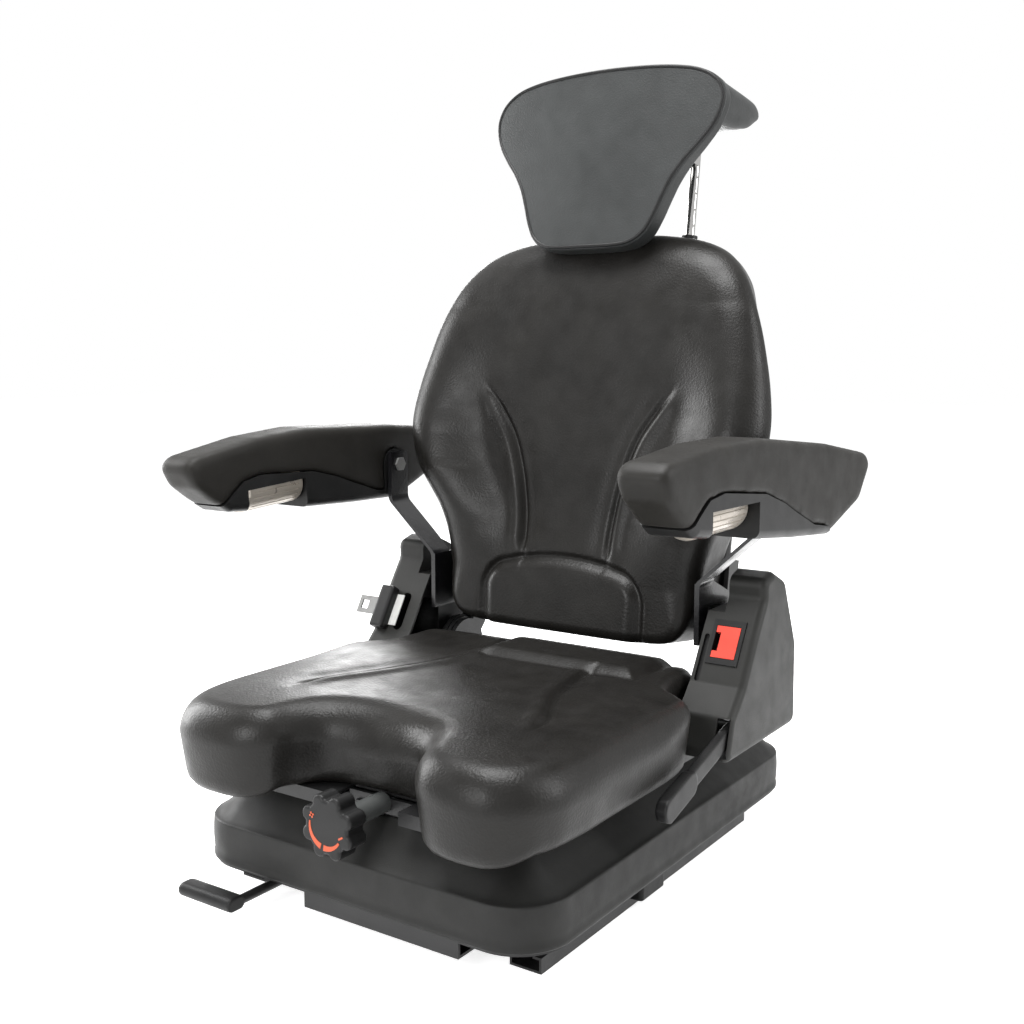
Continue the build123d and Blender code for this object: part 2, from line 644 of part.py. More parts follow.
def spring_yoke():
    low, high = spring_places()
    plate = area(low - SPRING_R, high + SPRING_R, HIGH_PIVOT_Z - SPRING_R, HIGH_PIVOT_Z + SPRING_R)
    plate += area(KNOB_X - 4 * SPINDLE_R, KNOB_X + 4 * SPINDLE_R, HIGH_PIVOT_Z,
                  SEAT_PAN_TOP - SEAT_PAN_SHEET - 2 * SLIDE)
    plate -= Pos(KNOB_X, KNOB_Z) * Circle(SPINDLE_R + RUN)
    return along_y(plate, YOKE_Y, YOKE_Y + YOKE_SHEET)


def damper_axis(along):
    """Point on the line between the damper's eyes, at a distance from the lower one."""
    run, rise = DAMPER_HIGH[0] - DAMPER_LOW[0], DAMPER_HIGH[1] - DAMPER_LOW[1]
    length = (run ** 2 + rise ** 2) ** 0.5
    return (DAMPER_X, DAMPER_LOW[0] + run * along / length, DAMPER_LOW[1] + rise * along / length)


def damper_length():
    return ((DAMPER_HIGH[0] - DAMPER_LOW[0]) ** 2 + (DAMPER_HIGH[1] - DAMPER_LOW[1]) ** 2) ** 0.5


def damper_bar(radius, start, end):
    a, b = Vector(*damper_axis(start)), Vector(*damper_axis(end))
    return extrude(Plane(origin=a, z_dir=b - a) * Circle(radius), amount=end - start)


def damper_eye(y, z):
    ring = Pos(y, z) * (Circle(DAMPER_EYE_R) - Circle(DAMPER_PIN_R + RUN))
    return along_x(ring, DAMPER_X - DAMPER_EYE_WIDTH / 2, DAMPER_X + DAMPER_EYE_WIDTH / 2)


def damper_tube():
    start = DAMPER_EYE_R - 2
    end = damper_length() * 0.68
    tube = damper_bar(DAMPER_TUBE_R, 2 * DAMPER_EYE_R, end)
    tube -= damper_bar(DAMPER_BORE_R, 3 * DAMPER_EYE_R, end)
    neck = damper_bar(DAMPER_PIN_R, start, 2 * DAMPER_EYE_R)
    return damper_eye(*DAMPER_LOW) + neck + tube


def damper_rod():
    length = damper_length()
    rod = damper_bar(DAMPER_ROD_R, length * 0.45, length - DAMPER_EYE_R + 2)
    return damper_eye(*DAMPER_HIGH) + rod


# Upper frame, seat pan and cushion

def upper_frame():
    plate = rounded(-FRAME_HALF_WIDTH, FRAME_HALF_WIDTH, *FRAME_Y, FRAME_SHEET)
    plate -= rounded(KNOB_X - WINDOW_HALF_WIDTH, KNOB_X + WINDOW_HALF_WIDTH, *WINDOW_Y, 3 * FRAME_SHEET)
    frame = along_z(plate, FRAME_BOTTOM, FRAME_TOP)
    frame += pivot_ears(INNER_ARM_X + ARM_SHEET + ROLLER_GAP, FRAME_BOTTOM, HIGH_PIVOT_Z)
    frame += upper_tracks()
    high_y, high_z = DAMPER_HIGH
    return frame + damper_ears(high_y, FRAME_BOTTOM, high_z)


def upper_tracks():
    """Angle rails that hold the upper rollers against the frame."""
    floor = FRAME_BOTTOM - 2 * ROLLER_R - 2 * SLIDE
    inner = OUTER_ARM_X + ARM_SHEET + ROLLER_GAP
    outer = inner + ROLLER_WIDTH + 2 * ROLLER_GAP
    section = area(inner, outer, floor - TRACK_SHEET, floor)
    section += area(outer, outer + TRACK_SHEET, floor - TRACK_SHEET, FRAME_BOTTOM)
    track = along_y(section, *TRACK_Y)
    return track + mirror(track, about=Plane.YZ)


def seat_pan():
    y0, y1 = SEAT_PAN_Y
    half = SEAT_PAN_HALF_WIDTH
    tray = REAR_TRAY_HALF_WIDTH
    sheet = SEAT_PAN_SHEET
    outline = rounded(-half, half, y0, y1, CUSHION_EDGE) + area(-tray, tray, 0, REAR_TRAY_END)
    hollow = rounded(-half + sheet, half - sheet, y0 + sheet, y1 - sheet, CUSHION_EDGE - sheet)
    hollow += area(-tray + sheet, tray - sheet, 0, REAR_TRAY_END - sheet)
    pan = along_z(outline, FRAME_TOP, SEAT_PAN_TOP) - along_z(hollow, FRAME_TOP, SEAT_PAN_TOP - sheet)
    clear = KNOB_R + 2 * KNOB_LOBE_R
    pan -= block(KNOB_X - clear, KNOB_X + clear, y0, FRAME_Y[0] + BRACKET_SHEET, FRAME_TOP, SEAT_PAN_TOP)
    spindle_gap = 2 * SPINDLE_R
    return pan - block(KNOB_X - spindle_gap, KNOB_X + spindle_gap, y0, y1, FRAME_TOP,
                       SEAT_PAN_TOP - sheet)


def seat_cushion():
    half = CUSHION_HALF_WIDTH
    outline = rounded(-half, half, CUSHION_FRONT, CUSHION_WIDE_REAR, CUSHION_CORNER)
    outline += area(-half, half, CUSHION_WIDE_REAR - 2 * CUSHION_CORNER, CUSHION_WIDE_REAR)
    rear = CUSHION_REAR_HALF_WIDTH
    outline += area(-rear, rear, CUSHION_WIDE_REAR - CUSHION_EDGE, CUSHION_REAR)
    low, high = NOTCH_X - NOTCH_WIDTH / 2, NOTCH_X + NOTCH_WIDTH / 2
    outline -= rounded(low, high, CUSHION_FRONT - RECESS_DEPTH, CUSHION_FRONT + RECESS_DEPTH, NOTCH_CORNER)
    lips = [v for v in outline.vertices() if abs(v.Y - CUSHION_FRONT) < SLIDE and low - 1 < v.X < high + 1]
    outline = fillet(lips, LOBE_CORNER)
    cushion = along_z(outline, SEAT_PAN_TOP, CUSHION_TOP)
    cushion = fillet(cushion.faces().sort_by(Axis.Z)[-1].edges(), CUSHION_EDGE)
    notch = rounded(low, high, CUSHION_FRONT - NOTCH_DEPTH, CUSHION_FRONT + NOTCH_DEPTH, NOTCH_CORNER)
    return cushion - along_z(notch, SEAT_PAN_TOP, NOTCH_TOP)


# Weight adjuster

def weight_knob():
    outline = Circle(KNOB_R)
    for i in range(KNOB_LOBES):
        turn = Rot(0, 0, 360 / KNOB_LOBES * (i + 0.5))
        outline += turn * Pos(KNOB_R - KNOB_LOBE_R / 4, 0) * Circle(KNOB_LOBE_R)
    knob = along_y(Pos(KNOB_X, KNOB_Z) * outline, KNOB_FACE_Y, KNOB_FACE_Y + KNOB_DEPTH)
    knob = chamfer(knob.faces().sort_by(Axis.Y)[0].edges(), KNOB_LOBE_R / 4)
    return knob - bar_y(KNOB_X, KNOB_Z, SPINDLE_R, KNOB_FACE_Y + KNOB_DEPTH / 2, 0)


def knob_spindle():
    rear = YOKE_Y + ADJUST + 2 * YOKE_SHEET
    return bar_y(KNOB_X, KNOB_Z, SPINDLE_R, KNOB_FACE_Y + KNOB_DEPTH / 2, rear)


def spindle_collar():
    front = KNOB_FACE_Y + KNOB_DEPTH + SLIDE
    collar = bar_y(KNOB_X, KNOB_Z, COLLAR_R, front, FRAME_Y[0] - BRACKET_SHEET)
    collar = chamfer(collar.edges().group_by(Axis.Y)[0], COLLAR_R / 6)
    return collar - bar_y(KNOB_X, KNOB_Z, SPINDLE_R + RUN, front, 0)


def knob_bracket():
    rear = FRAME_Y[0]
    reach = 4 * COLLAR_R
    plate = area(KNOB_X - reach, KNOB_X + reach, FRAME_BOTTOM, SEAT_PAN_TOP - SEAT_PAN_SHEET - SLIDE)
    plate -= Pos(KNOB_X, KNOB_Z) * Circle(SPINDLE_R + RUN)
    bracket = along_y(plate, rear - BRACKET_SHEET, rear)
    for x in (KNOB_X - 0.7 * reach, KNOB_X + 0.7 * reach):
        head = Pos(x, FRAME_TOP - SLIDE) * RegularPolygon(BRACKET_SHEET, 6)
        bracket += along_y(head, rear - 2 * BRACKET_SHEET, rear - BRACKET_SHEET)
    return bracket


# Recliner and backrest

def recliner_bases():
    inner = FRAME_HALF_WIDTH
    foot = area(HINGE_Y - 42, HINGE_Y + 50, FRAME_BOTTOM + ROLLER_GAP, HINGE_Z - RECLINER_DISC_R / 2)
    plate = foot + Pos(HINGE_Y, HINGE_Z) * Circle(RECLINER_DISC_R + 2)
    plate -= Pos(HINGE_Y, HINGE_Z) * Circle(RECLINER_PIN_R + RUN)
    return both_sides(along_x(plate, inner, inner + BASE_PLATE_SHEET))


def recliner_pins():
    outer = FRAME_HALF_WIDTH + BASE_PLATE_SHEET
    inner = FRAME_HALF_WIDTH - SLIDE - RECLINER_SHEET
    pin = bar_x(HINGE_Y, HINGE_Z, RECLINER_PIN_R, inner - 2 * ROLLER_GAP, outer)
    return both_sides(pin)


def recliner_caps():
    x = FRAME_HALF_WIDTH + BASE_PLATE_SHEET
    cap = bar_x(HINGE_Y, HINGE_Z, CAP_R, x, x + CAP_DEPTH)
    cap = fillet(cap.edges().group_by(Axis.X)[-1], CAP_DEPTH * 0.7)
    return both_sides(cap)


def recliner_arm(side):
    """Plate on the backrest side of the recliner, drawn in the backrest's own plane."""
    outer = FRAME_HALF_WIDTH - SLIDE
    behind = BACK_REAR - BACK_PAN_SHEET - RECLINER_ARM_WIDTH / 2
    plate = Circle(RECLINER_DISC_R) + link((0, 0), (behind, RECLINER_DISC_R), RECLINER_ARM_WIDTH)
    plate += area(behind - RECLINER_ARM_WIDTH / 2, behind + RECLINER_ARM_WIDTH / 2, RECLINER_DISC_R,
                  RECLINER_ARM_TOP)
    plate -= Circle(RECLINER_PIN_R + RUN)
    sheet = Plane(origin=(outer, 0, 0), x_dir=(0, 0, 1), z_dir=(-1, 0, 0))
    solid = extrude(sheet * plate, amount=RECLINER_SHEET)
    return on_side(in_plane(BACK, solid), side)


def back_outline(inset, taper):
    """Front view of the backrest: narrow at the hips, wide at the shoulders, less so at the rear edge."""
    half = FRAME_HALF_WIDTH - inset
    crown = (half + BACK_CROWN[0], BACK_TOP - BACK_CROWN[1] - inset)
    points = [(half + out - taper * less, up) for (out, up), less in zip(BACK_SIDE, BACK_TAPER)]
    side = Spline(*points, crown)
    top = Spline(crown, (0, BACK_TOP - inset), (-crown[0], crown[1]), tangents=[(-1, 0.32), (-1, -0.32)])
    left = side.mirror(Plane.YZ)
    low_x, low_y = points[0]
    bottom = Spline((low_x, low_y), (low_x * 0.7, BACK_BOTTOM + inset), (-low_x * 0.7, BACK_BOTTOM + inset),
                    (-low_x, low_y))
    return make_face(Wire([side, top, left, bottom]))


def back_slab(inset, rear, front):
    return extrude(Pos(0, 0, rear) * back_outline(inset, 1), amount=front - rear)


def backrest_cushion():
    """Cushion that widens from its rear edge to the waist, with a bolster standing forward on each side."""
    waist = Pos(0, 0, BACK_WAIST) * back_outline(0, 0)
    slab = loft([Pos(0, 0, BACK_REAR) * back_outline(0, 1), waist])
    slab += extrude(waist, amount=BACK_FRONT - BACK_WAIST)
    back, down = BACK_BEVEL
    bevel = polygon(((BACK_FRONT, BACK_TOP - down), (BACK_FRONT - back, BACK_TOP),
                     (BACK_FRONT - back, BACK_TOP + down), (BACK_FRONT, BACK_TOP + down)))
    across = Plane(origin=(2 * TUBE_X, 0, 0), x_dir=(0, 0, 1), z_dir=(-1, 0, 0))
    slab -= extrude(across * bevel, amount=4 * TUBE_X)
    slab = fillet(slab.faces().sort_by(Axis.Z)[-1].edges(), BACK_EDGE)
    rings = []
    for out, up, crest in BOLSTER_SPINE:
        ring = Plane(origin=(FRAME_HALF_WIDTH + out, up, BACK_WAIST), x_dir=(1, 0, 0), z_dir=(0, 1, 0))
        rings.append(ring * Ellipse(BOLSTER_HALF_WIDTH, crest - BACK_WAIST))
    ridge = split(loft(rings), bisect_by=Plane.XY.offset(BACK_WAIST), keep=Keep.TOP)
    return in_plane(BACK, slab + ridge + mirror(ridge, about=Plane.YZ))


def backrest_pan():
    return in_plane(BACK, back_slab(BACK_PAN_INSET, BACK_REAR - BACK_PAN_SHEET, BACK_REAR))


def backrest_frame():
    depth = BACK_REAR - BACK_PAN_SHEET - TUBE_R
    low = RECLINER_DISC_R + TUBE_R
    path = FilletPolyline((-TUBE_X, low, depth), (-TUBE_X, TUBE_TOP, depth), (TUBE_X, TUBE_TOP, depth),
                          (TUBE_X, low, depth), radius=TUBE_BEND)
    tube = sweep(Plane(origin=path @ 0, z_dir=path % 0) * Circle(TUBE_R), path=path)
    return in_plane(BACK, tube)


def backrest_shell():
    front = BACK_REAR - BACK_PAN_SHEET
    keep = Pos(0, SHELL_BOTTOM + BACK_TOP / 2, front) * Box(4 * TUBE_X, BACK_TOP, 4 * SHELL_DEPTH)
    outer = back_slab(BACK_PAN_INSET, front - SHELL_DEPTH, front) & keep
    outer = fillet(outer.faces().sort_by(Axis.Z)[0].edges(), SHELL_DEPTH / 3)
    inner = back_slab(BACK_PAN_INSET + SHELL_WALL, front - SHELL_DEPTH + SHELL_WALL, front)
    shell = outer - inner
    for x in (-ROD_X, ROD_X):
        hole = Pos(x, BACK_TOP, -ROD_BEHIND) * Rot(90, 0, 0) * Cylinder(GUIDE_R + SLIDE, 8 * GUIDE_R)
        shell -= hole
    return in_plane(BACK, shell)


def headrest_guides():
    ring = Circle(GUIDE_R) - Circle(ROD_R + RUN)
    base = Plane.XZ.offset(-GUIDE_BOTTOM)
    guide = extrude(base * (Pos(ROD_X, -ROD_BEHIND) * ring), amount=GUIDE_BOTTOM - GUIDE_TOP)
    return in_plane(BACK, both_sides(guide))


# Armrests and their brackets

def strap_path():
    inner = FRAME_HALF_WIDTH - SLIDE
    return ((inner, HINGE_Z + STRAP_FOOT), (inner, STRAP_LOW_Z), (STRAP_OUTER, STRAP_HIGH_Z),
            (STRAP_OUTER, ARM_PIVOT_Z + STRAP_WIDTH / 2))


def arm_bracket(side):
    inner = [(x, z) for x, z in strap_path()]
    outer = [(x + STRAP_SHEET, z) for x, z in reversed(strap_path())]
    section = polygon(inner + outer)
    bends = [v for v in section.vertices() if STRAP_LOW_Z - STRAP_SHEET < v.Y < STRAP_HIGH_Z + STRAP_SHEET]
    section = fillet(bends, STRAP_BEND)
    strap = along_y(section, ARM_PIVOT_Y - STRAP_WIDTH / 2, ARM_PIVOT_Y + STRAP_WIDTH / 2)
    x = strap_path()[0][0]
    front = ARM_PIVOT_Y - STRAP_WIDTH / 2
    low = HINGE_Z + STRAP_FOOT
    gusset = polygon(((front, low), (HINGE_Y + 48, low), (HINGE_Y + 48, low + 38),
                      (front + STRAP_WIDTH, STRAP_LOW_Z), (front, STRAP_LOW_Z)))
    strap += along_x(gusset, x, x + STRAP_SHEET)
    strap -= bar_x(ARM_PIVOT_Y, ARM_PIVOT_Z, ARM_PIVOT_R + RUN, STRAP_OUTER - 1, ARM_INNER)
    return on_side(strap, side)


def armrest_pivot_bolts():
    head = STRAP_OUTER - STRAP_SHEET / 2
    bolt = bar_x(ARM_PIVOT_Y, ARM_PIVOT_Z, ARM_PIVOT_R, head, ARM_INNER + 1.4 * ARM_BOSS_R)
    bolt += along_x(Pos(ARM_PIVOT_Y, ARM_PIVOT_Z) * RegularPolygon(1.6 * ARM_PIVOT_R, 6), head, STRAP_OUTER)
    washer = bar_x(ARM_PIVOT_Y, ARM_PIVOT_Z, 2 * ARM_PIVOT_R, STRAP_OUTER + STRAP_SHEET,
                   ARM_INNER - SLIDE)
    return both_sides(bolt + washer)


def armrest_body():
    """Whole outline of an armrest, before the pad and its insert are parted."""
    outline = polygon(from_pivot(ARM_OUTLINE))
    outline = fillet(outline.vertices(), ARM_EDGE)
    body = along_x(outline, ARM_INNER, ARM_OUTER_REAR)
    front, rear = body.bounding_box().min.Y, body.bounding_box().max.Y
    taper = polygon(((ARM_OUTER_FRONT, front), (ARM_OUTER_REAR, rear),
                     (ARM_OUTER_REAR + ARM_FRONT_WIDTH, rear), (ARM_OUTER_REAR + ARM_FRONT_WIDTH, front)))
    body -= along_z(taper, ARM_PIVOT_Z - ARM_REAR_WIDTH, ARM_PIVOT_Z + ARM_REAR_WIDTH)
    level = ARM_PIVOT_Z + 2 * ARM_BOSS_R
    top = [e for e in body.edges().filter_by(GeomType.LINE) if e.center().Z > level
           and e.length > 4 * ARM_EDGE and abs(e.tangent_at(0.5).Y) > 0.9]
    return fillet(top, ARM_EDGE)


def from_pivot(points):
    """Side-view points given from the armrest pivot, as y and z in the part's frame."""
    return [(ARM_PIVOT_Y + y, ARM_PIVOT_Z + z) for y, z in points]


def insert_region():
    """Lower part of the armrest that the plastic insert fills, in y and z."""
    return along_x(polygon(from_pivot(INSERT_OUTLINE)), ARM_INNER, ARM_OUTER_REAR)


def pivot_boss():
    boss = bar_x(ARM_PIVOT_Y, ARM_PIVOT_Z, ARM_BOSS_R, ARM_INNER, ARM_INNER + 1.6 * ARM_BOSS_R)
    return boss + block(ARM_INNER, ARM_INNER + 1.6 * ARM_BOSS_R, ARM_PIVOT_Y - ARM_BOSS_R,
                        ARM_PIVOT_Y + ARM_BOSS_R, ARM_PIVOT_Z - BOSS_DROP, ARM_PIVOT_Z)


def wheel_pocket():
    y0, y1 = WHEEL_Y
    pocket = bar_y(WHEEL_X, WHEEL_Z, WHEEL_R + WHEEL_PLAY, y0 - WHEEL_PLAY, y1 + WHEEL_PLAY)
    pocket += block(ARM_INNER - WHEEL_R, ARM_OUTER_REAR + WHEEL_R, y0 - WHEEL_PLAY, y1 + WHEEL_PLAY,
                    WHEEL_Z - 2 * WHEEL_R, WHEEL_Z + WINDOW_RISE)
    reach = 4 * WHEEL_SHAFT_R
    return pocket + bar_y(WHEEL_X, WHEEL_Z, WHEEL_SHAFT_R + RUN, y0 - reach, y1 + reach)


def bolt_bore():
    return bar_x(ARM_PIVOT_Y, ARM_PIVOT_Z, ARM_PIVOT_R + RUN, ARM_INNER - 1,
                 ARM_INNER + 1.5 * ARM_BOSS_R)


def tilted(shape, side):
    """Put an armrest piece on its side; the right one is set a little lower."""
    placed = on_side(shape, side)
    if side > 0:
        return placed
    return placed.rotate(Axis((0, ARM_PIVOT_Y, ARM_PIVOT_Z), (1, 0, 0)), RIGHT_ARM_TILT)


def armrest_insert(side):
    insert = (armrest_body() & insert_region()) + pivot_boss()
    return tilted(insert - wheel_pocket() - bolt_bore(), side)


def armrest_pad(side):
    return tilted(armrest_body() - insert_region() - pivot_boss() - wheel_pocket() - bolt_bore(), side)


def armrest_wheel(side):
    y0, y1 = WHEEL_Y
    wheel = bar_y(WHEEL_X, WHEEL_Z, WHEEL_R, y0, y1)
    wheel = fillet(wheel.edges(), WHEEL_SHAFT_R)
    for i in range(WHEEL_RIBS):
        angle = radians(360 / WHEEL_RIBS * i)
        x = WHEEL_X + WHEEL_R * cos(angle)
        z = WHEEL_Z + WHEEL_R * sin(angle)
        wheel -= bar_y(x, z, WHEEL_PLAY, y0 + 2 * WHEEL_SHAFT_R, y1 - 2 * WHEEL_SHAFT_R)
    reach = 3 * WHEEL_SHAFT_R
    return tilted(wheel + bar_y(WHEEL_X, WHEEL_Z, WHEEL_SHAFT_R, y0 - reach, y1 + reach), side)


# Side covers and seat belt

def cover_body(inset, x0, x1):
    outline = polygon(COVER_OUTLINE)
    outline = fillet(outline.vertices(), 2 * COVER_EDGE / 3)
    if inset:
        outline = offset(outline, amount=-inset)
    body = along_x(outline, x0, x1)
    return body


def cover_shell():
    body = cover_body(0, COVER_INNER, COVER_OUTER)
    body = fillet(body.faces().sort_by(Axis.X)[-1].edges(), COVER_EDGE / 2)
    hollow = cover_body(COVER_WALL, COVER_INNER, COVER_OUTER - COVER_WALL)
    top = COVER_OUTLINE[4][1]
    rear = COVER_OUTLINE[1][0]
    scoop = block(COVER_INNER, SCOOP_X, SCOOP_Y, rear, SCOOP_Z, top)
    wall = block(COVER_INNER, SCOOP_X + COVER_WALL, SCOOP_Y, rear, SCOOP_Z - COVER_WALL, top)
    shell = (body - scoop) - (hollow - wall)
    for y in COVER_STUD_Y:
        shell += bar_x(y, COVER_STUD_Z, COVER_STUD_R, FRAME_HALF_WIDTH + BASE_PLATE_SHEET,
                       COVER_OUTER - COVER_WALL / 2)
    return shell


def face_box(x, up, size, low, high):
    """Box on the sloping face: centre x, distance up the slope, size across and up, depth range."""
    return in_plane(FACE, Pos(x, up, (low + high) / 2) * Box(size[0], size[1], high - low))


def face_slot(x, up, size, low, high):
    slot = Pos(x, up) * Rot(0, 0, 90) * SlotOverall(size[1], size[0])
    return in_plane(FACE, extrude(Pos(0, 0, low) * slot, amount=high - low))


def side_cover_left():
    size = (BUCKLE_SIZE[0] + 2 * SLIDE, BUCKLE_SIZE[1] + 2 * SLIDE)
    cover = cover_shell() - face_box(BUCKLE_X, BUCKLE_UP, size, -4 * COVER_WALL, 4 * COVER_WALL)
    cover -= face_slot(GUIDE_SLOT_X, 0, GUIDE_SLOT, -3 * COVER_WALL, 3 * COVER_WALL)
    x0, x1 = LEVER_X
    pivot_y, pivot_z = LEVER_PIVOT
    cover -= block(x0 - 2, x1 + 2, COVER_OUTLINE[0][0] - 20, pivot_y, pivot_z - 24, pivot_z + 18)
    return cover + bar_x(pivot_y, pivot_z, LEVER_PIVOT_R, x0 - 2, COVER_OUTER - COVER_WALL / 2)


def side_cover_right():
    cover = mirror(cover_shell(), about=Plane.YZ)
    return cover - face_slot(-BELT_SLOT_X, 0, BELT_SLOT, -3 * COVER_WALL, 3 * COVER_WALL)


def buckle_housing():
    width, height, depth = BUCKLE_SIZE
    housing = face_box(BUCKLE_X, BUCKLE_UP, (width, height), BUCKLE_PROUD - depth, BUCKLE_PROUD)
    pocket = (BUTTON_SIZE[0] + 2 * BUTTON_PLAY, BUTTON_SIZE[1] + 2 * BUTTON_PLAY)
    floor = BUCKLE_PROUD - BUTTON_SIZE[2] - BUTTON_TRAVEL - BUTTON_PLAY
    housing -= face_box(BUCKLE_X, BUCKLE_UP, pocket, floor, 2 * BUCKLE_PROUD)
    return housing - face_box(tongue_slot_x(), BUCKLE_UP, TONGUE_SLOT, -depth / 2, 0)


def tongue_slot_x():
    return BUCKLE_X - BUTTON_SIZE[0] / 2 + TONGUE_SLOT[0] / 2


def buckle_button():
    width, height, thick = BUTTON_SIZE
    button = face_box(BUCKLE_X, BUCKLE_UP, (width, height), BUCKLE_PROUD - thick, BUCKLE_PROUD)
    return button - face_box(tongue_slot_x() - BUTTON_PLAY, BUCKLE_UP,
                             (TONGUE_SLOT[0] + 2 * BUTTON_PLAY, TONGUE_SLOT[1]), -2 * thick, thick)


def belt_tongue():
    length, width, sheet = TONGUE_SIZE
    x = -TONGUE_TIP_X + length / 2
    low = TONGUE_GRIP[2] / 2 - sheet / 2
    plate = face_box(x, 0, (length, width), low, low + sheet)
    hole_x = -TONGUE_TIP_X + TONGUE_HOLE[0]
    return plate - face_box(hole_x, 0, TONGUE_HOLE, low - sheet, low + 2 * sheet)


def tongue_grip():
    width, height, depth = TONGUE_GRIP
    grip = face_box(-TONGUE_GRIP_X, 0, (width, height), SLIDE, depth)
    grip = fillet(grip.edges(), depth / 5)
    return grip - belt_tongue()


def belt_webbing():
    gap = COVER_OUTER - BELT_SLOT_X
    x = -BELT_SLOT_X - gap / 4
    width = BELT_SLOT[1] - 6 * WEBBING_SHEET
    low = 2 * SLIDE
    return face_box(x, 0, (gap / 2 - TONGUE_GRIP[0] / 4, width), low, low + WEBBING_SHEET) - tongue_grip()


def belt_retractor():
    x0, x1 = RETRACTOR_X
    spool = bar_x(RETRACTOR_Y, RETRACTOR_Z, RETRACTOR_R, -x1, -x0)
    bracket = block(-x0 - 2 * ROLLER_GAP, -x0, RETRACTOR_Y - RETRACTOR_R, RETRACTOR_Y + RETRACTOR_R,
                    COVER_OUTLINE[0][1] + COVER_WALL, RETRACTOR_Z + RETRACTOR_R)
    return spool + bracket


def recline_lever():
    x0, x1 = LEVER_X
    lever = along_x(link(LEVER_PIVOT, LEVER_TIP, LEVER_HEIGHT), x0, x1)
    share = 0.3
    grip_start = (LEVER_TIP[0] + share * (LEVER_PIVOT[0] - LEVER_TIP[0]),
                  LEVER_TIP[1] + share * (LEVER_PIVOT[1] - LEVER_TIP[1]))
    lever += along_x(link(grip_start, LEVER_TIP, 1.3 * LEVER_HEIGHT), x0 - 1, x1 + 2)
    return lever - bar_x(*LEVER_PIVOT, LEVER_PIVOT_R + RUN, x0 - 2, x1 + 4)


# Headrest

def head_outline():
    """Front view of the headrest: a shield that widens upwards."""
    rise = HEAD_HEIGHT / (HEAD_OUTLINE[0][1] + HEAD_OUTLINE[-1][1])
    points = [(x, HEAD_BOTTOM + up * rise) for x, up in HEAD_OUTLINE]
    (low_x, low_y), (high_x, high_y) = points[0], points[-1]
    right = Spline(*points)
    top = Spline((high_x, high_y), (0, HEAD_TOP), (-high_x, high_y))
    left = right.mirror(Plane.YZ)
    bottom = Spline((low_x, low_y), (0, HEAD_BOTTOM), (-low_x, low_y))
    return make_face(Wire([right, top, left, bottom]))


def head_plane(up):
    """Plane across the headrest at a height up the back: x across and y to the rear, leaning back."""
    lean = radians(HEAD_LEAN)
    return Plane(origin=(0, up, 0), x_dir=(1, 0, 0), z_dir=(0, cos(lean), -sin(lean)))


def head_rear(up):
    """How far the pad's flat rear face stands out at a height up the back."""
    return HEAD_FRONT - HEAD_THICK - (up - HEAD_BOTTOM) * tan(radians(HEAD_LEAN))


def headrest_cushion():
    """Pad with the shield outline, a front that curves back to both sides and a flat rear."""
    slab = extrude(head_outline(), amount=2 * HEAD_FRONT)
    reach = max(x for x, up in HEAD_OUTLINE) + HEAD_EDGE
    front = ThreePointArc((-reach, HEAD_SAG - HEAD_FRONT), (0, -HEAD_FRONT), (reach, HEAD_SAG - HEAD_FRONT))
    rear = Polyline((reach, HEAD_SAG - HEAD_FRONT), (reach, HEAD_THICK - HEAD_FRONT),
                    (-reach, HEAD_THICK - HEAD_FRONT), (-reach, HEAD_SAG - HEAD_FRONT))
    section = make_face([front, *rear.edges()])
    pad = slab & extrude(head_plane(HEAD_BOTTOM) * section, amount=2 * HEAD_HEIGHT, both=True)
    face = pad.faces().filter_by(GeomType.CYLINDER).sort_by(Axis.Z)[-1]
    return in_plane(BACK, fillet(face.edges(), HEAD_EDGE))


def headrest_flap():
    """Padded hood behind the top of the headrest, drawn in side view and rounded at its rear corners."""
    top = HEAD_TOP - FLAP_SIDE[0][1]
    side = [(head_rear(ROD_TOP), ROD_TOP), (head_rear(top), top)]
    side += [(out, HEAD_TOP - down) for out, down in FLAP_SIDE]
    x = FLAP_HALF_WIDTH
    across = Plane(origin=(x, 0, 0), x_dir=(0, 0, 1), z_dir=(-1, 0, 0))
    flap = extrude(across * polygon(side), amount=2 * x)
    tip = -FLAP_SIDE[1][0]
    plan = rounded(-x, x, -tip, tip, FLAP_CORNER)
    flap &= extrude(Plane.XZ.offset(-HEAD_BOTTOM) * plan, amount=-2 * HEAD_HEIGHT)
    upper = flap.faces().sort_by(Axis.Y)[-1]
    flap = fillet([e for e in upper.edges() if e.center().Z < 0], FLAP_EDGE)
    return in_plane(BACK, flap)


def headrest_frame():
    """Two notched rods whose ends turn forward to the board behind the pad."""
    base = Plane.XZ.offset(-ROD_BOTTOM)
    rod = extrude(base * (Pos(ROD_X, -ROD_BEHIND) * Circle(ROD_R)), amount=ROD_BOTTOM - ROD_TOP)
    for i in range(ROD_NOTCHES):
        y = GUIDE_TOP + ROD_NOTCH_PITCH * (i + 0.6)
        rod -= Pos(ROD_X + ROD_R, y, -ROD_BEHIND) * Box(ROD_R / 2, ROD_R / 2, 2 * ROD_R)
    low = ROD_TOP - CARRIER_HEIGHT
    ahead = head_rear(ROD_TOP) - BOARD_SHEET / 2
    rod += Pos(ROD_X, (low + ROD_TOP) / 2, (ahead - ROD_BEHIND) / 2) * Box(2 * ROD_R, CARRIER_HEIGHT,
                                                                         ahead + ROD_BEHIND)
    half = ROD_X + 2 * ROD_R
    slope = ((head_rear(low), low), (head_rear(ROD_TOP), ROD_TOP),
             (head_rear(ROD_TOP) - BOARD_SHEET, ROD_TOP), (head_rear(low) - BOARD_SHEET, low))
    across = Plane(origin=(half, 0, 0), x_dir=(0, 0, 1), z_dir=(-1, 0, 0))
    board = extrude(across * polygon(slope), amount=2 * half)
    return in_plane(BACK, rod + mirror(rod, about=Plane.YZ) + board)


